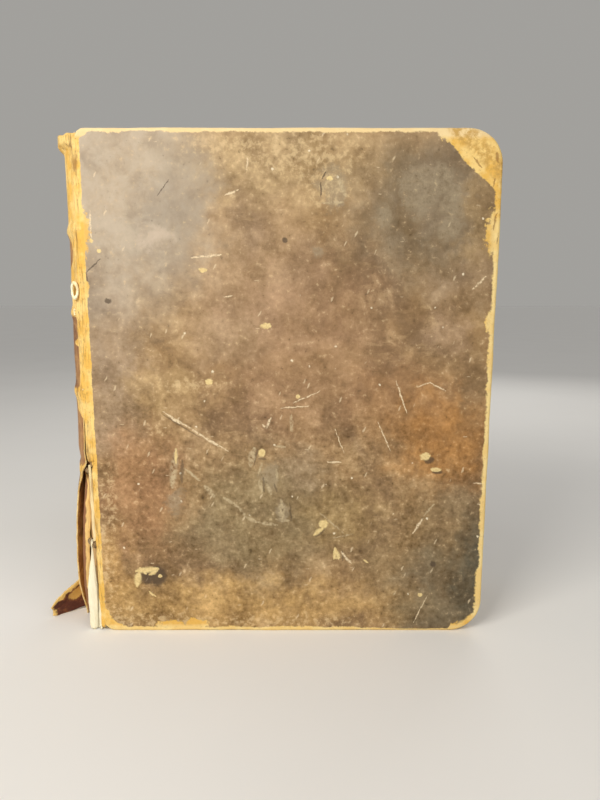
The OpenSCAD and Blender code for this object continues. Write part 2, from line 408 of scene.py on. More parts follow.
class Mottle(Effect):
    """Cloudy tones of old calf, from dark to light, with rubbed flecks."""

    name = "mottled_calf"
    inputs = {"Vector": "v", "Dark": "c", "Middle": "c", "Light": "c", "Fleck": "c"}
    outputs = {"Color": "c", "Tone": "f", "Fleck": "f"}

    def build(self, graph: Graph, given: Any) -> dict[str, Socket]:
        """Layer clouds, patches, smears, flecks and fine grain.

        Args:
            graph: Tree to write into.
            given: Sockets of the inputs, by name.

        Returns:
            Sockets of the outputs, by name.
        """
        place = given["Vector"]
        cloud = graph.noise(place, 21.0, 5.0, 0.55, 0.7)
        patch = graph.noise(place, 95.0, 5.0, 0.62, 0.3)
        smear = graph.noise(graph.stretched(place, (1.0, 1.0, 3.4)), 75.0, 5.0, 0.62, 0.2)
        fleck = graph.noise(place, 300.0, 4.0, 0.66)
        tone = graph.mix(graph.ramp(cloud, 0.36, 0.6), given["Dark"], given["Middle"])
        tone = graph.tint(graph.ramp(patch, 0.5, 0.68), 0.5, tone, given["Light"])
        tone = graph.tint(graph.ramp(patch, 0.47, 0.33), 0.48, tone, given["Dark"])
        tone = graph.tint(graph.ramp(smear, 0.54, 0.68), 0.42, tone, given["Light"])
        rubbed = graph.plus(graph.math("SUBTRACT", patch, 0.5), 0.6, fleck)
        tone = graph.tint(graph.ramp(rubbed, 0.64, 0.76), 0.25, tone, given["Fleck"])
        tone = graph.tint(graph.ramp(fleck, 0.40, 0.28), 0.25, tone, given["Dark"])
        return {"Color": tone, "Tone": patch, "Fleck": fleck}


class Specks(Effect):
    """Small marks scattered over a surface, one to a cell in a share of the cells."""

    name = "specks"
    inputs = {"Vector": "v", "Scale": "f", "Share": "f", "Size": "f"}
    outputs = {"Mask": "f"}

    def build(self, graph: Graph, given: Any) -> dict[str, Socket]:
        """Keep the middles of a few random cells.

        Args:
            graph: Tree to write into.
            given: Sockets of the inputs, by name.

        Returns:
            Sockets of the outputs, by name.
        """
        cell = graph.cells(given["Vector"], given["Scale"])
        pick = graph.node("ShaderNodeSeparateColor", {0: cell.outputs["Color"]}).outputs
        chosen = graph.math("LESS_THAN", pick[0], given["Share"])
        size = graph.times(given["Size"], graph.plus(pick[1], 0.8, 0.4))
        middle = graph.ramp(cell.outputs["Distance"], size, graph.times(size, 0.5))
        return {"Mask": graph.times(chosen, middle)}


class Grain(Effect):
    """Pores and fine creases of leather."""

    name = "leather_grain"
    inputs = {"Vector": "v"}
    outputs = {"Height": "f"}

    def build(self, graph: Graph, given: Any) -> dict[str, Socket]:
        """Add fine cells to coarser creases.

        Args:
            graph: Tree to write into.
            given: Sockets of the inputs, by name.

        Returns:
            Sockets of the outputs, by name.
        """
        pores = graph.cells(given["Vector"], 900.0).outputs["Distance"]
        creases = graph.noise(given["Vector"], 260.0, 5.0, 0.65)
        return {"Height": graph.plus(pores, 0.35, creases)}


class WornEdge(Effect):
    """Raw tan leather that shows where an edge is rubbed, with flecks of the old skin left in it."""

    name = "worn_edge"
    inputs = {"Vector": "v", "Distance": "f"}
    outputs = {"Mask": "f", "Color": "c"}
    tan: Colour = (0.83, 0.49, 0.10)
    cream: Colour = (0.92, 0.65, 0.235)
    brown: Colour = (0.46, 0.24, 0.055)

    def build(self, graph: Graph, given: Any) -> dict[str, Socket]:
        """Break the line of wear with coarse and fine noise.

        Args:
            graph: Tree to write into.
            given: Sockets of the inputs, by name.

        Returns:
            Sockets of the outputs, by name.
        """
        coarse = graph.noise(given["Vector"], 90.0, 4.0, 0.6)
        fine = graph.noise(given["Vector"], 520.0, 4.0, 0.7)
        edge = graph.math("ADD", given["Distance"], graph.plus(coarse, 1.5, -0.75))
        edge = graph.math("ADD", edge, graph.plus(fine, 1.0, -0.5))
        tone = graph.mix(graph.ramp(coarse, 0.4, 0.62), self.tan, self.cream)
        tone = graph.tint(graph.ramp(fine, 0.54, 0.72), 0.6, tone, self.brown)
        return {"Mask": graph.ramp(edge, 1.1, 0.75), "Color": tone}


class PaperFibre(Effect):
    """Cream rag paper with cloudy browning and foxing."""

    name = "rag_paper"
    inputs = {"Vector": "v", "Paper": "c", "Brown": "c", "Foxing": "f"}
    outputs = {"Color": "c", "Height": "f"}

    def build(self, graph: Graph, given: Any) -> dict[str, Socket]:
        """Layer browning, fox marks and fibres.

        Args:
            graph: Tree to write into.
            given: Sockets of the inputs, by name.

        Returns:
            Sockets of the outputs, by name.
        """
        cloud = graph.noise(given["Vector"], 14.0, 5.0, 0.6)
        fibre = graph.noise(graph.stretched(given["Vector"], (1.0, 1.0, 0.35)), 900.0, 3.0, 0.6)
        fox = graph.group(SPECKS, Vector=given["Vector"], Scale=95.0, Share=given["Foxing"], Size=0.26)
        tone = graph.tint(graph.ramp(cloud, 0.42, 0.75), 0.5, given["Paper"], given["Brown"])
        tone = graph.tint(graph.ramp(fibre, 0.45, 0.75), 0.25, tone, given["Brown"])
        tone = graph.tint(fox.outputs[0], 0.4, tone, given["Brown"])
        return {"Color": tone, "Height": fibre}


SPOT, SCRATCH, MOTTLE, SPECKS, GRAIN = Spot(), Scratch(), Mottle(), Specks(), Grain()
WORN_EDGE, PAPER_FIBRE = WornEdge(), PaperFibre()


class Finish:
    """A surface finish that makes its material once."""

    name: str

    def material(self) -> bpy.types.Material:
        """Get the finish's material, building it the first time.

        Returns:
            The material.
        """
        found = bpy.data.materials.get(self.name)
        if found:
            return found
        made = bpy.data.materials.new(self.name)
        made.use_nodes = True
        self.build(Graph(made.node_tree))
        return made

    def build(self, graph: Graph) -> None:
        """Write the material's nodes."""
        raise NotImplementedError


@dataclass(frozen=True)
class Blotch:
    """Soft field of another tone, painted light or painted shade on the front cover, placed and sized in
    pixels of the photo.
    """

    pixel: Pixel
    radius: Pixel
    colour: Colour
    strength: float


@dataclass(frozen=True)
class Mark:
    """Chip, stain or hole on the front cover, placed and sized in pixels of the photo."""

    pixel: Pixel
    radius: Pixel


@dataclass(frozen=True)
class Line:
    """Scratch, or line of painted shadow, on the front cover between two pixels of the photo, with its width
    in pixels.
    """

    start: Pixel
    end: Pixel
    width: float = 1.3


# Fields of tone on the front cover. Besides the leather's own blotches they hold painted light and shade,
# lighter toward the upper left and darker toward the lower right and the fore-edge, where the key light falls
# off.
FRONT_TONE_AND_SHADE_FIELDS = (
    Blotch((108, 330), (34, 100), (0.38, 0.285, 0.195), 0.6),
    Blotch((112, 432), (24, 26), (0.27, 0.185, 0.11), 0.6),
    Blotch((278, 160), (98, 36), (0.56, 0.395, 0.20), 0.75),
    Blotch((252, 280), (62, 66), (0.50, 0.345, 0.205), 0.55),
    Blotch((424, 208), (66, 72), (0.205, 0.16, 0.10), 0.8),
    Blotch((480, 235), (18, 75), (0.36, 0.235, 0.10), 0.6),
    Blotch((300, 350), (85, 90), (0.355, 0.20, 0.102), 0.6),
    Blotch((226, 340), (40, 24), (0.48, 0.33, 0.19), 0.5),
    Blotch((405, 405), (52, 40), (0.42, 0.215, 0.085), 0.5),
    Blotch((445, 440), (52, 44), (0.45, 0.205, 0.048), 0.75),
    Blotch((140, 490), (38, 62), (0.36, 0.18, 0.075), 0.75),
    Blotch((262, 520), (76, 62), (0.285, 0.215, 0.105), 0.75),
    Blotch((297, 470), (26, 22), (0.24, 0.17, 0.10), 0.5),
    Blotch((345, 518), (36, 34), (0.42, 0.28, 0.105), 0.5),
    Blotch((382, 568), (30, 28), (0.25, 0.17, 0.075), 0.5),
    Blotch((440, 535), (55, 46), (0.26, 0.18, 0.08), 0.5),
    Blotch((446, 592), (54, 52), (0.165, 0.135, 0.08), 0.8),
    Blotch((474, 578), (18, 66), (0.085, 0.07, 0.04), 0.95),
    Blotch((425, 614), (42, 22), (0.165, 0.125, 0.07), 0.85),
    Blotch((462, 285), (34, 30), (0.37, 0.255, 0.155), 0.5),
    Blotch((445, 334), (22, 20), (0.42, 0.28, 0.17), 0.5),
    Blotch((475, 395), (12, 36), (0.20, 0.125, 0.06), 0.6),
    Blotch((460, 500), (28, 26), (0.22, 0.15, 0.075), 0.5),
    Blotch((112, 572), (22, 44), (0.64, 0.37, 0.12), 0.6),
    Blotch((232, 606), (165, 28), (0.61, 0.375, 0.125), 0.65),
    Blotch((168, 388), (36, 18), (0.52, 0.35, 0.16), 0.6),
)
# Painted sheen: lighter, greyer fields toward the upper left of the front cover that stand for the key light
# glancing off the leather.
FRONT_PAINTED_SHEEN = (
    Blotch((120, 180), (78, 115), (0.53, 0.45, 0.345), 0.8),
    Blotch((182, 205), (24, 60), (0.37, 0.31, 0.235), 0.5),
    Blotch((158, 236), (14, 11), (0.60, 0.48, 0.36), 0.7),
)
FRONT_RUBS = (
    Mark((300, 158), (60, 22)), Mark((326, 178), (24, 30)), Mark((235, 146), (46, 10)),
    Mark((120, 618), (22, 14)), Mark((170, 620), (46, 9)), Mark((280, 620), (90, 7)),
    Mark((108, 560), (8, 60)), Mark((110, 500), (8, 40)), Mark((155, 431), (12, 6)),
    Mark((190, 385), (40, 8)),
)
FRONT_BARES = (
    Mark((494, 233), (8, 20)), Mark((489, 322), (4, 9)), Mark((448, 136), (9, 4)), Mark((82, 229), (7, 21)),
    Mark((86, 290), (3, 8)), Mark((172, 625), (15, 5)), Mark((196, 624), (13, 6)),
)
FRONT_CHIPS = (
    Mark((203, 270), (4, 2.2)), Mark((266, 326), (5.5, 3)), Mark((91, 241), (1.9, 2.2)),
    Mark((99, 251), (2.2, 1.8)), Mark((323.5, 524), (4.8, 4.6)), Mark((425, 456.5), (5.2, 4)),
    Mark((435.5, 469.5), (5.2, 1.9)), Mark((209, 382), (3.8, 3)), Mark((160, 576), (2, 1.7)),
    Mark((298, 397), (2.2, 2)), Mark((420, 595), (2.6, 2.2)), Mark((261.5, 453), (3.8, 4)),
    Mark((330, 178), (3, 2)),
)
FRONT_SKINS = (
    Mark((433, 182), (30, 15)), Mark((424, 203), (15, 13)), Mark((455, 198), (13, 17)),
    Mark((333, 190), (15, 15)), Mark((383, 217), (9, 13)), Mark((449, 228), (11, 12)),
    Mark((174, 499), (9, 15)), Mark((268, 477), (12, 16)), Mark((281.5, 512), (6, 10)),
    Mark((318, 251), (8, 6)),
)
FRONT_HOLES = (
    Mark((433, 564), (3.5, 3.1)), Mark((108, 301), (3.6, 2.4)), Mark((429, 460), (5.4, 3.8)),
    Mark((437, 472), (5, 1.7)), Mark((158, 576), (9, 11)), Mark((147, 577), (8, 8)),
    Mark((285, 240), (2.6, 2.6)),
)
FRONT_SCRATCHES = (
    Line((163, 412), (228, 451), 1.3), Line((169, 416), (182, 424.5), 2.4),
    Line((205, 438), (219, 446.5), 2.2), Line((263, 425), (266, 428.5), 1.7),
    Line((266, 428.5), (271, 418), 1.9), Line((341, 552), (351, 563.5), 1.9),
    Line((413, 533), (423, 518), 2.0), Line((191, 257.5), (221, 255), 1.7),
    Line((293, 403), (320, 391), 1.0), Line((280, 408), (309, 406), 0.9), Line((396, 381), (407, 413), 1.1),
    Line((378, 422), (390, 451), 1.0), Line((418, 387), (430, 382), 1.0), Line((430, 382), (446, 391), 1.0),
    Line((473, 289), (486, 277), 1.6), Line((413, 623), (427, 596), 0.9), Line((247, 157), (247, 170), 1.2),
    Line((225, 195), (238, 190), 1.3), Line((335, 429), (344, 453), 0.8), Line((223, 297), (233, 296), 1.0),
    Line((90, 210), (91, 240), 1.2), Line((327, 462), (341, 462), 1.3), Line((474, 483), (484, 484), 0.9),
    Line((477, 504), (484, 505), 0.9),
)
FRONT_SMEARS = (
    Line((254, 448), (250, 466), 5.0), Line((276, 469), (278, 481), 2.2), Line((259, 480), (262, 492), 2.8),
    Line((267, 484), (271, 494), 3.4), Line((262, 463), (258, 475), 1.8),
    Line((281.5, 500), (282, 521), 5.0), Line((276, 519), (289, 521), 3.0),
    Line((176, 450), (172, 487), 5.4), Line((184, 468), (200, 481), 2.2), Line((205, 486), (215, 497), 3.6),
    Line((223, 497), (240, 508), 2.4), Line((239, 507), (247, 518), 2.0), Line((247, 518), (257, 522), 3.2),
    Line((255, 522), (277, 525), 2.6), Line((338, 177), (346, 196), 3.4), Line((323, 203), (344, 202), 1.8),
    Line((291, 415), (292, 431), 2.8), Line((275, 446), (285, 447), 2.4), Line((320, 513), (343, 533), 1.3),
    Line((333, 538), (353, 534), 1.2), Line((424, 516), (434, 504), 1.5),
)
FRONT_FLAKES = (
    Line((176, 449), (176, 463), 2.2), Line((323, 528), (314, 535), 3.4), Line((335, 548), (334, 559), 2.8),
    Line((335, 548), (339, 559), 3.0), Line((364, 560), (368, 563), 1.6), Line((334, 558), (340, 558), 2.0),
    Line((136, 571), (158, 569), 5.0), Line((140, 568), (146, 574), 3.0), Line((139, 573), (137, 586), 5.5),
    Line((149, 574.5), (157, 571), 3.0), Line((149, 591), (156, 597), 1.6),
)
# Painted shadows: dark lines beside raised chips and smears and under the main scratch, standing for the
# shade that they cast.
FRONT_SHADOWS = (
    Line((182, 460), (182, 483), 3.0), Line((257, 449), (254, 466), 1.8), Line((258, 459), (267, 459), 1.6),
    Line((263.5, 477), (264, 492), 1.8), Line((274.5, 484), (277, 492), 1.8),
    Line((290, 504), (291, 521), 1.6), Line((316, 537), (325, 530), 1.8), Line((342, 549), (343, 561), 1.4),
    Line((163, 415), (200, 437.5), 1.4),
)
# Tears in the leather. The two lines at the left rim of the dented square and the one along the crease near
# the upper left are painted shade at those steps.
FRONT_TEARS_AND_CREASE_SHADE = (
    Line((100.5, 259), (86, 273), 1.1), Line((86, 273), (88, 291), 1.1), Line((169, 179), (157, 196), 0.8),
    Line((326, 172), (322, 179), 1.3), Line((321, 182), (321, 197), 1.1),
)
FRONT_BRUISES = (
    Line((474, 157), (482, 168), 1.4), Line((497, 153), (498, 163), 2.2), Line((495, 178), (494, 187), 1.0),
    Line((497, 213), (493, 230), 1.1), Line((498, 233), (497, 245), 0.8),
)


@dataclass(frozen=True)
class CalfFinish(Finish):
    """Mottled calf of a cover, rubbed at its edges."""

    name: str
    face: float
    dark: Colour = (0.21, 0.125, 0.058)
    middle: Colour = (0.36, 0.222, 0.098)
    light: Colour = (0.50, 0.335, 0.165)
    fleck: Colour = (0.60, 0.46, 0.29)
    # Fields of tone, partly painted light and shade.
    fields: tuple[Blotch, ...] = ()
    painted_sheen: tuple[Blotch, ...] = ()
    rubs: tuple[Mark, ...] = ()
    bares: tuple[Mark, ...] = ()
    chips: tuple[Mark, ...] = ()
    skins: tuple[Mark, ...] = ()
    holes: tuple[Mark, ...] = ()
    scratches: tuple[Line, ...] = ()
    smears: tuple[Line, ...] = ()
    flakes: tuple[Line, ...] = ()
    shadows: tuple[Line, ...] = ()
    tears_and_crease_shade: tuple[Line, ...] = ()
    bruises: tuple[Line, ...] = ()
    chip_colour: Colour = (0.84, 0.65, 0.30)
    chip_shade: Colour = (0.72, 0.53, 0.23)
    rub_colour: Colour = (0.70, 0.52, 0.28)
    skin_colour: Colour = (0.40, 0.325, 0.21)
    smear_colour: Colour = (0.56, 0.44, 0.26)
    scratch_colour: Colour = (0.80, 0.64, 0.41)
    speck_colour: Colour = (0.88, 0.77, 0.55)
    bruise_colour: Colour = (0.30, 0.14, 0.035)
    # Dark colour of holes, pits and painted shadows.
    hole_and_shadow_colour: Colour = (0.075, 0.048, 0.027)
    haze: tuple[float, float, float] = (1.0, 1.12, 1.4)
    patch_corner: Pixel = (468, 163)
    patch_way: tuple[float, float, float] = (0.69, 0.0, 0.72)
    patch_inner: Colour = (0.58, 0.34, 0.085)
    head_cream: Colour = (0.90, 0.72, 0.42)
    edge_cream: Colour = (0.97, 0.82, 0.42)
    head_z: float = 283.5 * MM
    tail_z: float = 5 * MM
    fore_x: float = 128.5 * MM
    patch_z: float = 245 * MM
    rough_z: tuple[float, float] = (168 * MM, 105 * MM)
    nick_tilt: float = math.radians(26)
    fine_shift: float = 2.6 * MM
    wide_shift: float = 42 * MM
    head_fade: float = 3 * MM
    edge_fade: float = 2 * MM
    patch_fade: float = 10 * MM
    patch_wave: float = 5 * MM
    patch_fray: float = 2 * MM
    patch_inset: float = 3.5 * MM
    patch_rim: float = 0.4 * MM
    inner_rise: tuple[float, float] = (3 * MM, 7 * MM)
    inner_fall: tuple[float, float] = (17 * MM, 12 * MM)

    def point(self, pixel: Pixel) -> Vector:
        """Point of the cover's face that a pixel shows."""
        return VIEW.on_plane(pixel, self.face)

    def spots(
        self, graph: Graph, place: Any, marks: Sequence[Mark], softness: float, ragged: Any = 0.0
    ) -> Any:
        """Gather a row of marks into one mask.

        Args:
            graph: Tree to write into.
            place: Socket of the place on the cover.
            marks: The marks.
            softness: Share of a mark's size over which its rim fades.
            ragged: Socket of the noise that breaks the rims.

        Returns:
            Socket of the mask.
        """
        pixel = VIEW.pixel_size(self.face)
        mask: Any = 0.0
        for mark in marks:
            size = (mark.radius[0] * pixel, 1.0, mark.radius[1] * pixel)
            oval = {"Vector": place, "Centre": self.point(mark.pixel), "Size": size}
            spot = graph.group(SPOT, **oval, Softness=softness, Ragged=ragged)
            mask = graph.math("MAXIMUM", mask, spot.outputs[0])
        return mask

    def lines(self, graph: Graph, place: Any, lines: Sequence[Line]) -> Any:
        """Gather a row of scratches, or of lines of painted shadow, into one mask.

        Args:
            graph: Tree to write into.
            place: Socket of the place on the cover.
            lines: The scratches or lines of painted shadow.

        Returns:
            Socket of the mask.
        """
        pixel = VIEW.pixel_size(self.face)
        mask: Any = 0.0
        for line in lines:
            ends = {"From": self.point(line.start), "To": self.point(line.end)}
            line_stroke = graph.group(SCRATCH, Vector=place, Width=line.width * pixel, **ends)
            mask = graph.math("MAXIMUM", mask, line_stroke.outputs[0])
        return mask

    def warped(self, graph: Graph, place: Any) -> tuple[Any, Any]:
        """Shift the place a little, so that marks get ragged rims.

        Args:
            graph: Tree to write into.
            place: Socket of the place on the cover.

        Returns:
            Sockets of a place shifted finely and of one shifted widely.
        """
        flat = graph.vector("MULTIPLY_ADD", place, (1.0, 0.0, 1.0), (0.0, self.face, 0.0))
        fine = graph.vector("SUBTRACT", graph.noise(place, 280.0, 5.0, 0.75, output=1), (0.5, 0.5, 0.5))
        wide = graph.vector("SUBTRACT", graph.noise(place, 55.0, 4.0, 0.6, output=1), (0.5, 0.5, 0.5))
        flat_fine = graph.vector("MULTIPLY_ADD", fine, (self.fine_shift, 0.0, self.fine_shift), flat)
        flat_wide = graph.vector("MULTIPLY_ADD", wide, (self.wide_shift, 0.0, self.wide_shift), flat_fine)
        return flat_fine, flat_wide

    def add_fields(self, graph: Graph, colour: Any, place: Any, broken: Any, fields: Sequence[Blotch]) -> Any:
        """Lay soft fields of tone, painted light or painted shade over the colour.

        Args:
            graph: Tree to write into.
            colour: Socket of the colour so far.
            place: Socket of the widely shifted place.
            broken: Socket of the noise that breaks the fields up.
            fields: The fields.

        Returns:
            Socket of the new colour.
        """
        pixel = VIEW.pixel_size(self.face)
        for blotch in fields:
            size = (blotch.radius[0] * pixel, 1.0, blotch.radius[1] * pixel)
            spot = graph.group(SPOT, Vector=place, Centre=self.point(blotch.pixel), Size=size, Softness=0.55)
            share = graph.times(graph.times(spot.outputs[0], blotch.strength), broken)
            colour = graph.mix(share, colour, blotch.colour)
        return colour

    def add_marks(self, graph: Graph, colour: Any, place: Any, fleck: Any, tone: Any) -> Any:
        """Lay skins, rubs, painted shadows, scratches, holes, tears with painted crease shade, and chips over
        the colour.

        Args:
            graph: Tree to write into.
            colour: Socket of the colour so far.
            place: Socket of the finely shifted place.
            fleck: Socket of fine noise.
            tone: Socket of coarser noise.

        Returns:
            Socket of the new colour.
        """
        fine = graph.noise(place, 850.0, 2.0, 0.6)
        ragged = graph.plus(fleck, 0.9, graph.plus(fine, 0.5, -0.7))
        uneven = graph.plus(tone, 4.4, graph.plus(fleck, 1.8, -3.0))
        skin = self.spots(graph, place, self.skins, 0.35, uneven)
        skin = graph.times(skin, graph.plus(fleck, 1.2, -0.15))
        colour = graph.mix(skin, colour, self.skin_colour)
        rub = self.spots(graph, place, self.rubs, 0.75)
        rub = graph.ramp(graph.plus(rub, 0.13, fleck), 0.58, 0.74)
        colour = graph.tint(rub, 0.5, colour, self.rub_colour)
        # Painted shadows beside raised marks, in the colour of the holes.
        colour = graph.tint(self.lines(graph, place, self.shadows), 0.55, colour, self.hole_and_shadow_colour)
        smear = self.lines(graph, place, self.smears)
        smear = graph.times(smear, graph.ramp(graph.math("ADD", fine, fleck), 0.7, 1.2))
        colour = graph.tint(smear, 0.9, colour, self.smear_colour)
        line = self.lines(graph, place, self.scratches)
        colour = graph.tint(line, graph.ramp(fine, 0.3, 0.55), colour, self.scratch_colour)
        hole = self.spots(graph, place, self.holes, 0.3, graph.times(ragged, 0.6))
        # Tears, partly painted shade along a crease and the rim of a dent, join the holes.
        hole = graph.math("MAXIMUM", hole, self.lines(graph, place, self.tears_and_crease_shade))
        colour = graph.tint(hole, 0.78, colour, self.hole_and_shadow_colour)
        chip = self.spots(graph, place, self.chips, 0.2, ragged)
        chip = graph.math("MAXIMUM", chip, self.lines(graph, place, self.flakes))
        chip_tone = graph.mix(graph.ramp(fine, 0.4, 0.65), self.chip_colour, self.chip_shade)
        return graph.tint(chip, 0.95, colour, chip_tone)

    def add_patch(self, graph: Graph, mask: Any, tone: Any, place: Any, fleck: Any) -> tuple[Any, Any]:
        """Wear the fore corner at the head down to bare leather.

        Args:
            graph: Tree to write into.
            mask: Socket of the mask of worn leather so far.
            tone: Socket of the colour of worn leather.
            place: Socket of the finely shifted place.
            fleck: Socket of fine noise.

        Returns:
            Sockets of the new mask and colour.
        """
        away = graph.vector("SUBTRACT", place, self.point(self.patch_corner))
        depth = graph.vector("DOT_PRODUCT", away, self.patch_way)
        wave = graph.noise(place, 110.0, 2.0, 0.5)
        depth = graph.math("SUBTRACT", depth, self.patch_inset)
        depth = graph.plus(wave, self.patch_wave, depth)
        depth = graph.plus(fleck, self.patch_fray, depth)
        inner = graph.ramp(depth, *self.inner_rise)
        inner = graph.times(inner, graph.ramp(depth, *self.inner_fall))
        inner = graph.times(inner, graph.ramp(fleck, 0.36, 0.6))
        tone = graph.tint(inner, 0.9, tone, self.patch_inner)
        bare = self.spots(graph, place, self.bares, 0.2, graph.plus(fleck, 2.4, -1.2))
        mask = graph.math("MAXIMUM", mask, graph.times(bare, 0.9))
        tone = graph.tint(self.lines(graph, place, self.bruises), 0.7, tone, self.bruise_colour)
        return graph.math("MAXIMUM", mask, graph.ramp(depth, -self.patch_rim, self.patch_rim)), tone

    def bleach_edges(self, graph: Graph, tone: Any, place: Any) -> Any:
        """Bleach worn leather along the head, the tail, and the fore-edge below the worn corner.

        Args:
            graph: Tree to write into.
            tone: Socket of the colour of worn leather.
            place: Socket of the finely shifted place.

        Returns:
            Socket of the new colour.
        """
        axes = graph.node("ShaderNodeSeparateXYZ", {0: place}).outputs
        head = graph.ramp(axes[2], self.head_z, self.head_z + self.head_fade)
        tone = graph.tint(head, 0.7, tone, self.head_cream)
        below = graph.ramp(axes[2], self.patch_z, self.patch_z - self.patch_fade)
        fore = graph.ramp(axes[0], self.fore_x, self.fore_x + self.edge_fade)
        fore = graph.times(fore, below)
        tail = graph.ramp(axes[2], self.tail_z, self.tail_z - self.edge_fade)
        edge = graph.math("MAXIMUM", fore, tail)
        return graph.tint(edge, 0.4, tone, self.edge_cream)

    def build(self, graph: Graph) -> None:
        """Lay fields of tone with painted light and shade, a painted sheen, wear, marks and scratches over
        mottled calf.

        Args:
            graph: Tree to write into.
        """
        place = graph.place()
        fine_place, wide_place = self.warped(graph, place)
        tones = {"Dark": self.dark, "Middle": self.middle, "Light": self.light, "Fleck": self.fleck}
        base = graph.group(MOTTLE, Vector=place, **tones)
        fleck = base.outputs["Fleck"]
        broken = graph.plus(graph.ramp(base.outputs["Tone"], 0.3, 0.66), 0.35, 0.62)
        # Fields of tone, with painted light and shade where the key light falls off across the cover.
        colour = self.add_fields(graph, base.outputs["Color"], wide_place, broken, self.fields)
        cloud = graph.noise(fine_place, 48.0, 2.0, 0.5, 0.3)
        shade = graph.plus(cloud, 0.82, -0.69)
        shade = graph.plus(base.outputs["Tone"], 0.55, shade)
        lower = graph.ramp(graph.node("ShaderNodeSeparateXYZ", {0: place}).outputs[2], *self.rough_z)
        grit = graph.plus(lower, 0.9, 0.9)
        shade = graph.plus(graph.math("SUBTRACT", fleck, 0.5), grit, shade)
        haze = graph.vector("MULTIPLY_ADD", shade, self.haze, (1.0, 1.0, 1.0))
        colour = graph.vector("MULTIPLY", colour, haze)
        # Painted sheen over the upper left, laid after the tone contrast.
        colour = self.add_fields(graph, colour, wide_place, broken, self.painted_sheen)
        share = graph.plus(lower, 0.11, 0.13)
        speck = graph.group(SPECKS, Vector=fine_place, Scale=200.0, Share=0.045, Size=0.19).outputs[0]
        level = graph.stretched(fine_place, (1.0, 1.0, 4.5))
        tilt = {0: fine_place, 2: (0.0, self.nick_tilt, 0.0), 3: (0.28, 1.0, 1.0)}
        steep = graph.node("ShaderNodeMapping", tilt, vector_type="TEXTURE").outputs[0]
        nick = graph.group(SPECKS, Vector=level, Scale=75.0, Share=share, Size=0.18).outputs[0]
        steep_nick = graph.group(SPECKS, Vector=steep, Scale=85.0, Share=share, Size=0.18).outputs[0]
        nick = graph.math("MAXIMUM", nick, steep_nick)
        colour = graph.tint(nick, 0.55, colour, self.scratch_colour)
        colour = graph.tint(graph.ramp(fleck, 0.36, 0.28), 0.4, colour, self.hole_and_shadow_colour)
        colour = graph.tint(speck, 0.9, colour, self.speck_colour)
        worn = graph.group(WORN_EDGE, Vector=place, Distance=graph.attribute("wear"))
        worn_mask = worn.outputs["Mask"]
        worn_tone = self.bleach_edges(graph, worn.outputs["Color"], fine_place)
        if self.fields:
            worn_mask, worn_tone = self.add_patch(graph, worn_mask, worn_tone, fine_place, fleck)
        if self.chips:
            colour = self.add_marks(graph, colour, fine_place, fleck, base.outputs["Tone"])
        colour = graph.mix(worn_mask, colour, worn_tone)
        height = graph.group(GRAIN, Vector=place).outputs[0]
        rough = graph.plus(base.outputs["Tone"], 0.2, 0.45)
        rough = graph.plus(worn_mask, 0.25, rough)
        relief = (height, 0.4, 0.4 * MM)
        graph.surface(bump=relief, Base_Color=colour, Roughness=rough, Specular_IOR_Level=0.35)


@dataclass(frozen=True)
class SpineFinish(Finish):
    """Calf of the spine and joints, cracked upright and worn tan where it bends."""

    name: str = "spine_calf"
    dark: Colour = (0.20, 0.085, 0.032)
    middle: Colour = (0.40, 0.19, 0.062)
    light: Colour = (0.58, 0.32, 0.11)
    crack: Colour = (0.13, 0.055, 0.02)
    fluff: Colour = (0.84, 0.72, 0.48)

    def build(self, graph: Graph) -> None:
        """Lay wear and upright cracks over mottled calf.

        Args:
            graph: Tree to write into.
        """
        place = graph.place()
        tones = {"Dark": self.dark, "Middle": self.middle, "Light": self.light, "Fleck": self.fluff}
        base = graph.group(MOTTLE, Vector=place, **tones)
        worn = graph.group(WORN_EDGE, Vector=place, Distance=graph.attribute("wear"))
        colour = graph.mix(worn.outputs["Mask"], base.outputs["Color"], worn.outputs["Color"])
        streak = graph.noise(graph.stretched(place, (1.0, 1.0, 0.08)), 420.0, 4.0, 0.6, 0.5)
        stain = graph.noise(graph.stretched(place, (1.0, 1.0, 0.25)), 130.0, 4.0, 0.6)
        colour = graph.tint(graph.ramp(stain, 0.56, 0.7), 0.75, colour, self.dark)
        thin = graph.ramp(graph.math("ABSOLUTE", graph.math("SUBTRACT", streak, 0.5)), 0.022, 0.006)
        colour = graph.tint(thin, 0.4, colour, self.crack)
        upright = graph.stretched(place, (1.0, 1.0, 0.5))
        fluff = graph.group(SPECKS, Vector=upright, Scale=260.0, Share=0.10, Size=0.2)
        colour = graph.tint(fluff.outputs[0], 0.8, colour, self.fluff)
        height = graph.group(GRAIN, Vector=place).outputs[0]
        height = graph.math("SUBTRACT", height, thin)
        rough = graph.plus(worn.outputs["Mask"], 0.25, 0.5)
        relief = (height, 0.45, 0.5 * MM)
        graph.surface(bump=relief, Base_Color=colour, Roughness=rough, Specular_IOR_Level=0.3)


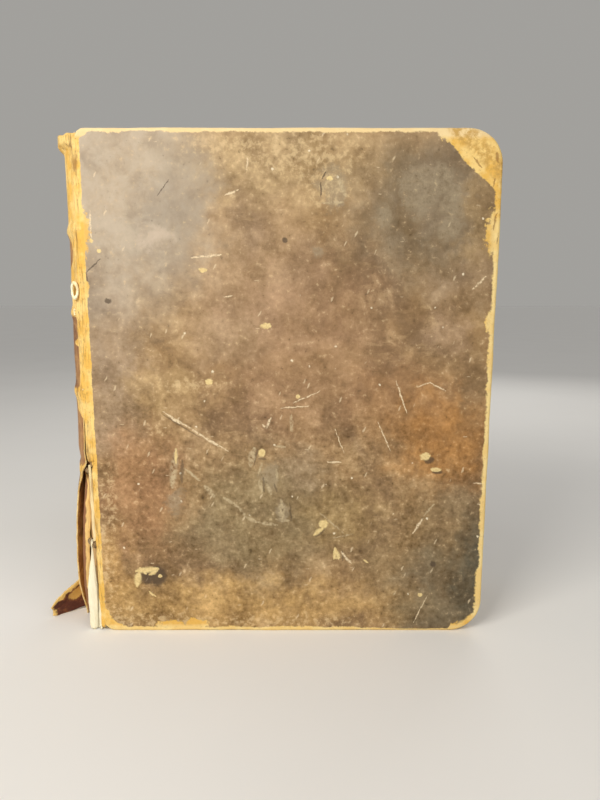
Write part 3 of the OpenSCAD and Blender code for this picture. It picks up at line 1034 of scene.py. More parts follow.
@dataclass(frozen=True)
class FlapFinish(Finish):
    """Flesh side of the loose flap: rust brown, with a tan patch of painted light and a bright torn upper
    edge.
    """

    name: str = "torn_flap_flesh"
    dark: Colour = (0.10, 0.022, 0.008)
    rust: Colour = (0.27, 0.085, 0.02)
    # Colour of the patch of painted light on the flesh side.
    tan: Colour = (0.66, 0.38, 0.09)
    rim: Colour = (0.90, 0.60, 0.18)

    def build(self, graph: Graph) -> None:
        """Place the patch of painted light and the bright edge by the shares along and up the flap.

        Args:
            graph: Tree to write into.
        """
        place = graph.place()
        run, rise = graph.attribute("run"), graph.attribute("rise")
        rough = graph.noise(place, 170.0, 5.0, 0.65)
        shift = graph.math("SUBTRACT", rough, 0.5)
        colour = graph.mix(graph.ramp(rough, 0.44, 0.64), self.dark, self.rust)
        # Painted light: a tan patch about a point along and up the flap.
        across = graph.times(graph.math("SUBTRACT", run, 0.40), 4.5)
        up = graph.times(graph.math("SUBTRACT", rise, 0.60), 5.0)
        far = graph.math("SQRT", graph.plus(across, across, graph.times(up, up)))
        far = graph.plus(shift, 1.8, far)
        colour = graph.mix(graph.ramp(far, 1.15, 0.85), colour, self.tan)
        edge = graph.plus(shift, 0.5, graph.plus(run, 0.12, rise))
        colour = graph.mix(graph.ramp(edge, 0.87, 0.95), colour, self.rim)
        end = graph.plus(shift, 0.3, run)
        colour = graph.mix(graph.ramp(end, 0.9, 0.97), colour, self.rim)
        fibre = graph.noise(place, 900.0, 3.0, 0.6)
        graph.surface(bump=(fibre, 0.5, 0.4 * MM), Base_Color=colour, Roughness=0.75)


@dataclass(frozen=True)
class LipFinish(Finish):
    """Curled edge of the loose lining, brown with glue at its fold and tan at its torn edge."""

    name: str = "lining_lip"
    brown: Colour = (0.27, 0.12, 0.05)
    tan: Colour = (0.88, 0.58, 0.21)

    def build(self, graph: Graph) -> None:
        """Pass from brown to tan across the lip, in ragged patches.

        Args:
            graph: Tree to write into.
        """
        place = graph.place()
        patch = graph.noise(graph.stretched(place, (1.0, 1.0, 0.35)), 120.0, 4.0, 0.6)
        across = graph.plus(patch, 1.6, graph.math("SUBTRACT", graph.attribute("run"), 0.8))
        fibre = graph.noise(graph.stretched(place, (1.0, 1.0, 0.2)), 1100.0, 3.0, 0.6)
        colour = graph.mix(graph.ramp(across, 0.3, 0.5), self.brown, self.tan)
        colour = graph.scaled(colour, graph.plus(fibre, 0.6, 0.7))
        graph.surface(bump=(fibre, 0.5, 0.4 * MM), Base_Color=colour, Roughness=0.8)


@dataclass(frozen=True)
class FibreFinish(Finish):
    """Raw fibres at a torn edge of leather, or the flesh side of a torn piece."""

    name: str
    first: Colour
    second: Colour
    scale: float = 180.0
    low: float = 0.42
    high: float = 0.6

    def build(self, graph: Graph) -> None:
        """Mix two tones in fibrous patches.

        Args:
            graph: Tree to write into.
        """
        place = graph.place()
        patch = graph.noise(place, self.scale, 4.0, 0.65, 0.5)
        fibre = graph.noise(graph.stretched(place, (1.0, 1.0, 0.2)), 1100.0, 3.0, 0.6)
        colour = graph.mix(graph.ramp(patch, self.low, self.high), self.first, self.second)
        shade = graph.plus(fibre, 0.7, 0.65)
        colour = graph.shaded(colour, shade)
        graph.surface(bump=(fibre, 0.5, 0.4 * MM), Base_Color=colour, Roughness=0.8)


@dataclass(frozen=True)
class PaperFinish(Finish):
    """Old rag paper of the endleaves and the lining."""

    name: str
    paper: Colour
    brown: Colour
    foxing: float = 0.12

    def build(self, graph: Graph) -> None:
        """Dress paper with browning and fibres.

        Args:
            graph: Tree to write into.
        """
        place = graph.place()
        paper = graph.group(PAPER_FIBRE, Vector=place, Paper=self.paper, Brown=self.brown, Foxing=self.foxing)
        relief = (paper.outputs["Height"], 0.2, 0.2 * MM)
        graph.surface(bump=relief, Base_Color=paper.outputs["Color"], Roughness=0.85)


@dataclass(frozen=True)
class PageFinish(Finish):
    """Edges of many leaves, browned and dusty."""

    name: str = "page_edges"
    pale: Colour = (0.70, 0.58, 0.39)
    aged: Colour = (0.50, 0.37, 0.21)
    gap: Colour = (0.22, 0.145, 0.075)

    def build(self, graph: Graph) -> None:
        """Draw fine lines between leaves, coarser ones between gatherings, and cloudy stains.

        Args:
            graph: Tree to write into.
        """
        place = graph.place()
        leaf = graph.noise(graph.stretched(place, (6.0, 2600.0, 6.0)), 1.0, 2.0, 0.6)
        gathering = graph.noise(graph.stretched(place, (3.0, 420.0, 3.0)), 1.0, 3.0, 0.6)
        cloud = graph.noise(place, 24.0, 5.0, 0.6, 0.4)
        colour = graph.mix(graph.ramp(gathering, 0.35, 0.68), self.aged, self.pale)
        colour = graph.tint(graph.ramp(cloud, 0.45, 0.72), 0.6, colour, self.aged)
        line = graph.ramp(leaf, 0.5, 0.34)
        colour = graph.tint(line, 0.55, colour, self.gap)
        dust = graph.group(SPECKS, Vector=place, Scale=160.0, Share=0.08, Size=0.14).outputs[0]
        colour = graph.tint(dust, 0.6, colour, self.gap)
        graph.surface(bump=(leaf, 0.5, 0.3 * MM), Base_Color=colour, Roughness=0.85)


@dataclass(frozen=True)
class ThreadFinish(Finish):
    """Twisted or wrapped thread, darker where the turns kept on the mesh sink into grooves: painted shade
    between strands and wraps.
    """

    name: str
    first: Colour
    second: Colour

    def build(self, graph: Graph) -> None:
        """Tint the turns, with painted shade in the grooves, and roughen them with fibres.

        Args:
            graph: Tree to write into.
        """
        place = graph.place()
        fibre = graph.noise(place, 1500.0, 3.0, 0.65)
        # Painted shade: the first colour lies in the grooves between strands and wraps, where the tube is
        # thinnest.
        colour = graph.mix(graph.ramp(graph.attribute("turn"), 0.3, 0.7), self.first, self.second)
        shade = graph.plus(fibre, 0.8, 0.6)
        colour = graph.shaded(colour, shade)
        graph.surface(bump=(fibre, 0.5, 0.3 * MM), Base_Color=colour, Roughness=0.9)


@dataclass(frozen=True)
class FloorFinish(Finish):
    """Pale matt ground."""

    name: str = "pale_ground"
    pale: Colour = (0.86, 0.84, 0.80)
    shade: Colour = (0.82, 0.80, 0.76)

    def build(self, graph: Graph) -> None:
        """Cloud the ground very slightly.

        Args:
            graph: Tree to write into.
        """
        cloud = graph.noise(graph.place(), 6.0, 3.0)
        colour = graph.mix(cloud, self.pale, self.shade)
        graph.surface(Base_Color=colour, Roughness=0.9, Specular_IOR_Level=0.1)


TORN_FIBRE = FibreFinish("torn_fibre", (0.92, 0.70, 0.32), (0.80, 0.52, 0.17))
FLESH_SIDE = FibreFinish("flesh_side", (0.55, 0.28, 0.11), (0.82, 0.52, 0.20), 90.0)
SHRED = FibreFinish("lining_shred", (0.86, 0.54, 0.18), (0.50, 0.26, 0.07), 130.0, 0.5, 0.66)
FRAYED = FibreFinish("frayed_thread", (0.97, 0.88, 0.60), (0.88, 0.70, 0.38))
LIP = LipFinish()
FLAP_FLESH = FlapFinish()
ENDPAPER = PaperFinish("browned_endpaper", (0.72, 0.62, 0.44), (0.46, 0.33, 0.17))
STUB_PAPER = PaperFinish("stub_paper", (0.95, 0.88, 0.64), (0.80, 0.62, 0.32), 0.05)
SLIVER_PAPER = PaperFinish("sliver_paper", (0.95, 0.80, 0.46), (0.74, 0.50, 0.18), 0.05)
LINING_PAPER = PaperFinish("glued_lining", (0.64, 0.41, 0.17), (0.34, 0.18, 0.075), 0.3)
PASTEBOARD = FibreFinish("layered_board", (0.45, 0.34, 0.19), (0.33, 0.23, 0.12), 300.0)
HEMP = ThreadFinish("twisted_hemp", (0.17, 0.10, 0.045), (0.40, 0.27, 0.13))
ENDBAND = ThreadFinish("wrapped_thread", (0.30, 0.17, 0.08), (0.62, 0.50, 0.30))
PAGES = PageFinish()
SPINE_CALF = SpineFinish()
PALE_GROUND = FloorFinish()


def sheet(columns: int, rows: int) -> Mesh:
    """Start a mesh as a flat grid over the unit square.

    Args:
        columns: Cells along X.
        rows: Cells along Y.

    Returns:
        The mesh.
    """
    bm = bmesh.new()
    bmesh.ops.create_grid(bm, x_segments=columns, y_segments=rows, size=0.5)
    bmesh.ops.translate(bm, verts=bm.verts, vec=(0.5, 0.5, 0.0))
    return bm


def closed_tube(bm: Mesh) -> None:
    """Join the two long sides of a rolled grid, cap its ends and turn its faces outwards.

    Args:
        bm: The rolled grid.
    """
    bmesh.ops.remove_doubles(bm, verts=bm.verts, dist=0.01 * MM)
    bmesh.ops.holes_fill(bm, edges=[edge for edge in bm.edges if edge.is_boundary], sides=0)
    bmesh.ops.recalc_face_normals(bm, faces=bm.faces)


def piece(name: str, bm: Mesh, *finishes: Finish) -> bpy.types.Object:
    """Make an object of a mesh.

    Args:
        name: Name of the piece.
        bm: Mesh in the frame, freed afterwards.
        *finishes: Finishes for its material slots.

    Returns:
        The object at the origin.
    """
    mesh = bpy.data.meshes.new(name)
    bm.to_mesh(mesh)
    bm.free()
    mesh.shade_smooth()
    for finish in finishes:
        mesh.materials.append(finish.material())
    made = bpy.data.objects.new(name, mesh)
    bpy.context.scene.collection.objects.link(made)
    return made


def thicken(obj: bpy.types.Object, thickness: float, rim_slot: int = 0, inner_slot: int = 0) -> None:
    """Give a sheet its thickness behind its face.

    Args:
        obj: The sheet.
        thickness: Thickness of the wall.
        rim_slot: Material slot of the rim.
        inner_slot: Material slot of the hidden side.
    """
    wall = obj.modifiers.new("thickness", "SOLIDIFY")
    wall.thickness = thickness
    wall.offset = -1.0
    wall.use_even_offset = False
    wall.material_offset_rim = rim_slot
    wall.material_offset = inner_slot


def settle(obj: bpy.types.Object, body: str, slot: str, *nodes: str) -> None:
    """Ride a piece on a body and hide the nodes that it stands for.

    Args:
        obj: The piece.
        body: Body that carries it.
        slot: Not used.
        *nodes: Nodes that it replaces.
    """
    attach(obj, body)
    if nodes:
        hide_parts(*nodes)
    log.info("%s on %s: %d points", obj.name, body, len(obj.data.vertices))


@dataclass
class Cover:
    """Leather over one board, turned in at head, tail and fore-edge."""

    side: Side
    finish: CalfFinish
    low: Vector
    high: Vector
    fore_radius: float = 19 * MM
    tail_radius: float = 9 * MM
    head_radius: float = 5 * MM
    arris: float = 1.6 * MM
    turn_in: float = 12 * MM
    leather: float = 0.8 * MM
    cell: float = 2 * MM
    head_wear: float = 2.4 * MM
    tail_wear: float = 3.1 * MM
    tail_fade: Knots = ((0.05, 1.0), (0.085, 0.5))
    fore_wear: float = 3.6 * MM
    corner_wear: float = 4.6 * MM
    joint_round: float = 15 * MM
    joint_wear: float = 1.2 * MM
    edge_reach: float = 6 * MM
    joint_margin: float = 0.1 * MM

    @property
    def name(self) -> str:
        """Which of the two covers this is."""
        return self.side.name.lower()

    @property
    def outer(self) -> float:
        """Place of the outer face."""
        return self.low.y if self.side is Side.FRONT else self.high.y

    @property
    def thick(self) -> float:
        """Thickness over the board and the leather on both sides."""
        return self.high.y - self.low.y

    def radius(self, x: float, z: float) -> float:
        """Find the radius of the corner nearest to a point.

        Args:
            x: Place across the cover.
            z: Height above the ground.

        Returns:
            The radius.
        """
        middle = (self.low + self.high) / 2
        if x > middle.x:
            return self.fore_radius
        return self.head_radius if z > middle.z else self.tail_radius

    def rounded(self, x: float, z: float) -> tuple[float, float, Vector]:
        """Round a point of the plain rectangle into the cover's outline.

        Args:
            x: Place across the rectangle that lies one arris inside the cover.
            z: Height in that rectangle.

        Returns:
            The rounded place and the direction out of the nearest edge.
        """
        low = self.low + Vector((self.arris, 0.0, self.arris))
        high = self.high - Vector((self.arris, 0.0, self.arris))
        low.x = self.low.x
        radius = self.radius(x, z) - self.arris
        right = x > (low.x + high.x) / 2
        up = z > (low.z + high.z) / 2
        sign_x, sign_z = (1 if right else -1), (1 if up else -1)
        centre_x = (high.x if right else low.x) - sign_x * radius
        centre_z = (high.z if up else low.z) - sign_z * radius
        a = (x - centre_x) / radius * sign_x
        b = (z - centre_z) / radius * sign_z
        if a > 0 and b > 0:
            round_a, round_b = a * math.sqrt(1 - b * b / 2), b * math.sqrt(1 - a * a / 2)
            way = Vector((sign_x * round_a, 0.0, sign_z * round_b))
            place = (centre_x + sign_x * round_a * radius, centre_z + sign_z * round_b * radius)
            return *place, way.normalized()
        way = Vector((sign_x, 0.0, 0.0)) if a > b else Vector((0.0, 0.0, sign_z))
        return x, z, way

    def wear(self, x: float, z: float) -> float:
        """Measure the distance from the nearest edge.

        Args:
            x: Place across the cover.
            z: Height above the ground.

        Returns:
            The distance in widths of the worn band along that edge.
        """
        ways = (
            (self.high.z - z) / self.head_wear,
            (z - self.low.z) / (self.tail_wear * along(self.tail_fade, x)),
            (self.high.x - x) / self.fore_wear,
            (x - self.low.x) / self.joint_wear,
        )
        middle = (self.low + self.high) / 2
        fore = x > middle.x
        radius = self.radius(x, z) if fore or z > middle.z else self.joint_round
        inset_x = self.high.x - x if fore else x - self.low.x
        inset_z = min(self.high.z - z, z - self.low.z)
        if inset_x < radius and inset_z < radius:
            corner = radius - math.hypot(radius - inset_x, radius - inset_z)
            return min(min(ways), corner / (self.corner_wear if fore else self.fore_wear))
        return min(ways)

    def relief(self, x: float, z: float) -> float:
        """Work out the unevenness of the surface.

        Args:
            x: Place across the cover.
            z: Height above the ground.

        Returns:
            Height above the flat face.
        """
        broad = ripple((x, 0.0, z), 14.0, 3.0 * self.side.value) * 0.25
        small = ripple((x, 0.0, z), 60.0, 7.0 * self.side.value) * 0.12
        return (broad + small) * MM

    def jitter(self, place: Sequence[float]) -> float:
        """Unevenness of the outline at a place."""
        return ripple(place, 40.0, 11.0) * 0.35 * MM + ripple(place, 260.0, 5.0) * 0.12 * MM

    def rings(self) -> list[tuple[float, float, float]]:
        """List the steps of the leather over the edge.

        Returns:
            Distance outwards, depth behind the face and share of the turn-in of each step.
        """
        turns = [math.pi / 2 * k / 4 for k in range(1, 5)]
        over = [(self.arris * math.sin(t), self.arris * (1 - math.cos(t)), 0.0) for t in turns]
        wall = [(self.arris, self.thick * share, 0.0) for share in (0.45, 0.6)]
        under = [(self.arris * math.cos(t), self.thick - self.arris * (1 - math.sin(t)), 0.0) for t in turns]
        return over + wall + under + [(0.0, self.thick, 0.5), (0.0, self.thick, 1.0)]

    def mesh(self) -> Mesh:
        """Model the outer face as a grid and carry its edges round the board.

        Returns:
            The leather as an open sheet, with its wear kept on the points.
        """
        width = self.high.x - self.low.x - self.arris
        height = self.high.z - self.low.z - 2 * self.arris
        bm = sheet(round(width / self.cell), round(height / self.cell))
        wear = bm.verts.layers.float.new("wear")
        base = bm.verts.layers.float_vector.new("base")
        out = bm.verts.layers.float_vector.new("out")
        rim = [edge for edge in bm.edges if edge.is_boundary]
        for vert in bm.verts:
            plain_x = self.low.x + vert.co.x * width
            plain_z = self.low.z + self.arris + vert.co.y * height
            x, z, way = self.rounded(plain_x, plain_z)
            jitter = self.jitter((x, 0.0, z))
            vert[base] = (x, self.outer, z)
            vert[out] = way
            vert[wear] = self.wear(x, z)
            near = smooth(self.edge_reach, 0.0, vert[wear] * self.fore_wear)
            x, z = x + way.x * jitter * near, max(z + way.z * jitter * near, self.low.z)
            vert.co = (x, self.outer + self.side.value * self.relief(x, z), z)
        joint = self.low.x + self.joint_margin
        rim = [edge for edge in rim if any(vert[base][0] > joint for vert in edge.verts)]
        for outwards, depth, turned in self.rings():
            made = bmesh.ops.extrude_edge_only(bm, edges=rim)["geom"]
            fresh = {item for item in made if isinstance(item, bmesh.types.BMVert)}
            edges = [item for item in made if isinstance(item, bmesh.types.BMEdge)]
            rim = [edge for edge in edges if fresh.issuperset(edge.verts)]
            for vert in fresh:
                self.carry(vert, Vector(vert[base]), Vector(vert[out]), outwards, depth, turned)
                vert[wear] = (-outwards - depth) / self.fore_wear * 0.15 if turned == 0 else 4.0
        bm.verts.layers.float_vector.remove(bm.verts.layers.float_vector["base"])
        bm.verts.layers.float_vector.remove(bm.verts.layers.float_vector["out"])
        if self.side is Side.BACK:
            bmesh.ops.reverse_faces(bm, faces=bm.faces)
        return bm

    def carry(
        self, vert: Any, base: Vector, out: Vector, outwards: float, depth: float, turned: float
    ) -> None:
        """Place a point of a ring from the point of the outline that it came from.

        Args:
            vert: The point.
            base: Its point of the outline.
            out: Direction out of the edge there.
            outwards: Distance outwards.
            depth: Depth behind the face.
            turned: Share of the turn-in that the ring has reached.
        """
        jitter = self.jitter(base)
        inset = min(self.turn_in, self.radius(base.x, base.z) - self.arris - MM) * turned
        vert.co = base + out * (outwards + jitter - inset) - Vector((0.0, self.side.value * depth, 0.0))
        vert.co.z = max(vert.co.z, self.low.z)

    def build(self) -> None:
        """Make the cover's leather and settle it on its board."""
        obj = piece(f"{self.name}_cover_leather", self.mesh(), self.finish, TORN_FIBRE)
        thicken(obj, self.leather, 1)
        settle(obj, f"{self.name}_cover", "cover_leather", f"{self.name}_leather")


@dataclass
class Spine:
    """Rounded spine with raised bands, its joints, its torn front edge and the loose flap."""

    joint_x: float
    cover_out: float
    head: float
    bands: tuple[float, ...]
    joint_gap: float = 3 * MM
    flank_gap: float = 0.8 * MM
    round_depth: float = 14 * MM
    leather: float = 0.9 * MM
    ridge_h: float = 2.05 * MM
    ridge_w: float = 11 * MM
    flare: float = 3 * MM
    flare_h: float = 11 * MM
    roll: float = 1.3 * MM
    split_top: float = 106 * MM
    split_fade: tuple[float, float] = (6 * MM, 2 * MM)
    crack_gap: float = 0.9 * MM
    crack: Knots = (
        (106 * MM, 4.6 * MM), (125 * MM, 4.2 * MM), (142 * MM, 5.4 * MM), (170 * MM, 5.9 * MM),
        (205 * MM, 6.3 * MM), (221 * MM, 4.8 * MM), (260 * MM, 4.0 * MM), (290 * MM, 3.4 * MM),
    )
    torn: Knots = (
        (0.0, -16.0), (5 * MM, -17.0), (14 * MM, -19.5), (24 * MM, -21.0), (83 * MM, -22.5),
        (106 * MM, -40.0),
    )
    flap_top: Knots = ((0.0, 24.5), (0.5, 18.0), (0.82, 12.5), (0.95, 9.5), (1.0, 7.0))
    flap_foot: Knots = ((0.0, 2.6), (0.5, 0.6), (0.9, 0.3), (1.0, 1.2))
    worn_share: Knots = (
        (0.0, 0.5), (95 * MM, 0.62), (104 * MM, 0.9), (131 * MM, 0.95), (136 * MM, 0.62),
        (146 * MM, 0.65), (150 * MM, 0.84), (172 * MM, 0.84), (175 * MM, 0.6), (178 * MM, 0.78),
        (189 * MM, 0.76), (194 * MM, 0.45), (216 * MM, 0.45), (221 * MM, 0.7), (230 * MM, 0.7),
        (236 * MM, 0.42), (290 * MM, 0.42),
    )
    shred_lift: Knots = (
        (7 * MM, 3.8 * MM), (24 * MM, 5.2 * MM), (45 * MM, 4.9 * MM), (69 * MM, 3.5 * MM),
        (90 * MM, 1.0 * MM), (99 * MM, 0.0),
    )
    shred_edge: float = math.radians(-27.8)
    shred_lip: float = 4.2 * MM
    tufts: tuple[tuple[float, float, float, float, float, float], ...] = (
        (-101.4, -33.4, 204.5, 2.1, 4.2, 1.05),
        (-102.6, -31.4, 192.5, 0.5, 1.2, 0.75),
        (-99.6, -33.6, 147.0, 0.5, 1.4, 0.7),
    )
    bulge: Knots = (
        (100 * MM, 0.0), (112 * MM, 1.7 * MM), (150 * MM, 1.3 * MM), (190 * MM, 0.8 * MM), (225 * MM, 0.0),
    )
    cap_drop: float = 2.7 * MM
    lift: Knots = (
        (0.0, 3.0 * MM), (5 * MM, 3.4 * MM), (13 * MM, 5.0 * MM), (24 * MM, 6.6 * MM), (40 * MM, 7.0 * MM),
        (69 * MM, 5.6 * MM), (90 * MM, 3.4 * MM), (106 * MM, 0.6 * MM), (120 * MM, 0.0),
    )
    loose_angle: float = math.radians(6)
    loose_z: tuple[float, float] = (98 * MM, 88 * MM)
    gap_z: tuple[float, float] = (140 * MM, 122 * MM)
    gap_band: float = 218 * MM
    gap_reach: float = 8 * MM
    joint_skin: float = 0.7
    joint_lap: float = 0.4 * MM
    joint_depth: float = 0.25 * MM
    groove_in: float = 1.4 * MM
    remnant_in: float = 2.6 * MM
    remnant_depth: float = 1.1 * MM
    remnant_foot: float = 2 * MM
    back_foot: float = 9 * MM
    back_top: float = 5 * MM
    flap_root: float = math.radians(-9)
    flap_out: float = 2.2 * MM
    flap_bend: tuple[float, float] = (8 * MM, -10.5 * MM)
    flap_tip: tuple[float, float] = (37.2 * MM, -21.0 * MM)
    bare_z: float = 22 * MM
    bare_ragged: float = 3 * MM
    head_worn: float = 9 * MM
    tail_worn: float = 7 * MM
    tail_start: float = 2 * MM
    shred_z: tuple[float, float] = (7 * MM, 99 * MM)
    shred_fade: float = 88 * MM
    shred_root: float = math.radians(-6)
    shred_under: float = 0.35 * MM
    shred_curl: float = 1.2 * MM
    shred_thick: float = 0.4 * MM

    @property
    def end_x(self) -> float:
        """Place of the two ends of the rounded spine."""
        return self.joint_x - self.joint_gap

    @property
    def flank(self) -> float:
        """Distance of the spine's ends from the middle plane."""
        return self.cover_out - self.flank_gap

    @property
    def radius(self) -> float:
        """Radius of the outer face of the spine."""
        return (self.flank**2 + self.round_depth**2) / (2 * self.round_depth)

    @property
    def centre_x(self) -> float:
        """Place of the upright axis that the spine is rounded about."""
        return self.end_x - self.round_depth + self.radius

    @property
    def end_angle(self) -> float:
        """Angle from the middle of the spine to its end at the back joint."""
        return math.asin(self.flank / self.radius)

    def at(self, radius: float, angle: float, z: float) -> Vector:
        """Place a point on the spine, behind the faces of the covers so that they can open flat.

        Args:
            radius: Distance from the axis that the spine is rounded about.
            angle: Angle from the middle of the spine, negative towards the front.
            z: Height above the ground.

        Returns:
            The point.
        """
        limit = self.flank + self.flank_gap / 2
        side = min(max(radius * math.sin(angle), -limit), limit)
        return Vector((self.centre_x - radius * math.cos(angle), side, z))

    def crack_angle(self, z: float) -> float:
        """Angle of the upright crack beside the front joint."""
        x = self.joint_x - along(self.crack, z) + ripple_up(z, 120.0, 2.0) * 0.5 * MM
        return -math.acos(min((self.centre_x - x) / self.radius, 1.0))

    def gap(self, z: float) -> float:
        """Width of the upright crack, which is open widest just above the split."""
        open_wide = smooth(*self.gap_z, z) + 0.5 * smooth(self.gap_reach, 0.0, abs(z - self.gap_band))
        return self.crack_gap * (0.5 + 2.2 * open_wide + 0.25 * ripple_up(z, 160.0, 4.0))

    def front_angle(self, z: float) -> float:
        """Find where the spine's leather ends at the front.

        Args:
            z: Height above the ground.

        Returns:
            The angle from the middle of the spine.
        """
        ragged = math.radians(ripple_up(z, 150.0, 9.0) * 0.9 + ripple_up(z, 600.0, 4.0) * 0.3)
        torn = math.radians(along(self.torn, z)) + ragged
        whole = self.crack_angle(z) + self.gap(z) / 2 / self.radius
        below, above = self.split_fade
        return lerp(torn, whole, smooth(self.split_top - below, self.split_top + above, z))

    def swell(self, angle: float, z: float) -> float:
        """Add up the raised bands, the headcap and small dents.

        Args:
            angle: Angle from the middle of the spine.
            z: Height above the ground.

        Returns:
            Height above the round of the spine.
        """
        front = smooth(0.0, -0.55 * self.end_angle, angle)
        height = along(self.bulge, z) * smooth(self.end_angle, 0.3 * self.end_angle, angle)
        for band in self.bands:
            u = (z - band) / (self.ridge_w / 2)
            if abs(u) < 1:
                worn = lerp(1.0, 0.5, front) + 0.2 * ripple((angle, 0.0, band), 9.0)
                height += self.ridge_h * worn * (1 + math.cos(math.pi * u)) / 2
        up = max(z - (self.head - self.flare_h), 0.0) / self.flare_h
        lobe = smooth(0.08, 0.42, up + 0.12 * ripple((angle, 0.0, 0.0), 12.0, 2.0))
        flare = lerp(up**2, lobe, front) * (1 + 0.3 * ripple((angle * 3.0, 0.0, 0.0), 2.5, 6.0))
        height += self.flare * flare
        place = (angle * self.radius, 0.0, z)
        height += (ripple(place, 55.0, 1.0) * 0.28 + ripple(place, 200.0, 8.0) * 0.1) * MM
        return height

    def wear(self, angle: float, z: float) -> float:
        """Work out the wear of the leather.

        Args:
            angle: Angle from the middle of the spine.
            z: Height above the ground.

        Returns:
            0 where the leather is worn through and above 1 where it is whole.
        """
        place = (angle * self.radius, 0.0, z)
        if angle < self.flap_root and z < self.bare_z + self.bare_ragged * ripple(place, 120.0, 4.0):
            return 0.2
        share = abs(angle) / self.end_angle + 0.1 * ripple(place, 45.0, 12.0)
        share += 0.06 * ripple(place, 150.0, 3.0)
        limit = along(self.worn_share, z) if angle < 0 else 0.62
        joint = smooth(limit + 0.16, limit - 0.16, share) * 2.6
        band = min(abs(z - band) / (self.ridge_w * 0.32) for band in self.bands) + 0.35
        cap = min((self.head - z) / self.head_worn, (z + self.tail_start) / self.tail_worn) + 0.2
        return min(joint + 0.2, band, cap)

    def shell(self) -> Mesh:
        """Model the spine's leather from the back joint to the crack or the torn edge.

        Returns:
            The leather as an open sheet.
        """
        bm = sheet(84, 300)
        wear = bm.verts.layers.float.new("wear")
        body_share = 0.975
        for vert in bm.verts:
            s, t = vert.co.x, vert.co.y
            roll = max(t - body_share, 0.0) / (1 - body_share) * math.pi
            z = min(t / body_share, 1.0) * (self.head - self.roll)
            front = self.front_angle(z)
            angle = lerp(self.end_angle, front, s)
            drop = self.cap_drop * smooth(0.5, 0.85, abs(angle) / self.end_angle)
            z -= drop * smooth(self.head - self.flare_h, self.head - self.roll, z)
            loose = smooth(self.loose_angle, front, angle) if angle < self.loose_angle else 0.0
            flat = 0.75 * loose * smooth(*self.loose_z, z)
            radius = self.radius + self.swell(angle, z) * (1 - flat)
            radius += along(self.lift, z) * loose**1.5
            vert[wear] = self.wear(angle, z)
            radius += self.roll * (math.cos(roll) - 1)
            vert.co = self.at(radius, angle, z + self.roll * math.sin(roll))
        return bm

    def strip(self, side: Side, low: float, high: float, torn: bool) -> Mesh:
        """Model the leather across a joint.

        Args:
            side: Which joint.
            low: Height of its lower end.
            high: Height of its upper end.
            torn: Whether it is only the remnant left on the cover.

        Returns:
            The leather as an open sheet.
        """
        bm = sheet(12, round((high - low) / (1.5 * MM)))
        wear = bm.verts.layers.float.new("wear")
        for vert in bm.verts:
            z = lerp(low, high, vert.co.y)
            share = vert.co.x
            shoulder = self.at(self.radius, -self.end_angle, z)
            hinge = Vector((self.joint_x + self.joint_lap, -self.cover_out + self.joint_depth, z))
            groove = Vector((self.joint_x - self.groove_in, -self.flank + self.joint_depth, z))
            if side is Side.BACK:
                start = self.at(self.radius + self.swell(self.end_angle, z), -self.end_angle, z)
            elif torn:
                ragged = ripple_up(z, 160.0, 3.0) * 0.6 + ripple_up(z, 500.0, 6.0) * 0.3
                x = self.joint_x - self.remnant_in + ragged * MM
                start = Vector((x, -self.flank + self.remnant_depth, z))
            else:
                angle = self.crack_angle(z) - self.gap(z) / 2 / self.radius
                start = self.at(self.radius + self.swell(angle, z), angle, z)
            first = start.lerp(shoulder if not torn else start.lerp(groove, 0.5), min(share * 3, 1.0))
            second = first.lerp(groove, min(max(share * 3 - 1, 0.0), 1.0))
            place = second.lerp(hinge, min(max(share * 3 - 2, 0.0), 1.0))
            place.y += ripple(place, 220.0, 2.0) * 0.18 * MM
            vert.co = (place.x, place.y if side is Side.FRONT else -place.y, z)
            vert[wear] = 0.25 + 0.5 * ripple(place, 60.0, 5.0)
        if side is Side.BACK:
            bmesh.ops.reverse_faces(bm, faces=bm.faces)
        return bm

    def build_joint(self, side: Side, low: float, high: float) -> None:
        """Make the leather that bends at a joint.

        Args:
            side: Which joint.
            low: Height of its lower end.
            high: Height of its upper end.
        """
        name = side.name.lower()
        obj = piece(f"{name}_joint_leather", self.strip(side, low, high, False), SPINE_CALF, TORN_FIBRE)
        thicken(obj, self.joint_skin * self.leather, 1)
        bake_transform(obj)
        log.info("%s bends at the joint: %d points", obj.name, len(obj.data.vertices))

    def flap(self) -> Mesh:
        """Model the loose leather of the tail panel, opened outwards with its flesh side to the front.

        Returns:
            The leather as an open sheet, with the shares along and up it kept on the points.
        """
        bm = sheet(48, 28)
        run = bm.verts.layers.float.new("run")
        rise = bm.verts.layers.float.new("rise")
        root = self.at(self.radius + self.flap_out, self.flap_root, 0.0)
        bend = Vector((root.x - self.flap_bend[0], self.flap_bend[1], 0.0))
        tip = Vector((self.joint_x - self.flap_tip[0], self.flap_tip[1], 0.0))
        for vert in bm.verts:
            s, t = vert.co.x, vert.co.y
            place = root * (1 - s) ** 2 + bend * (2 * s * (1 - s)) + tip * s**2
            ragged = ripple((s, 0.0, 0.0), 7.0, 4.0) * 0.9 + ripple((s, 0.0, 0.0), 22.0, 8.0) * 0.6
            top = (along(self.flap_top, s) + ragged) * MM
            foot = along(self.flap_foot, s) * MM
            curl = smooth(0.45, 1.0, t) * 2.2 + ripple((s, t, 0.0), 4.0, 2.0) * 1.0
            vert[run], vert[rise] = s, t
            vert.co = place + Vector((-0.2 * curl, -curl, 0.0)) * MM
            vert.co.z = lerp(foot, top, t)
        bmesh.ops.reverse_faces(bm, faces=bm.faces)
        return bm

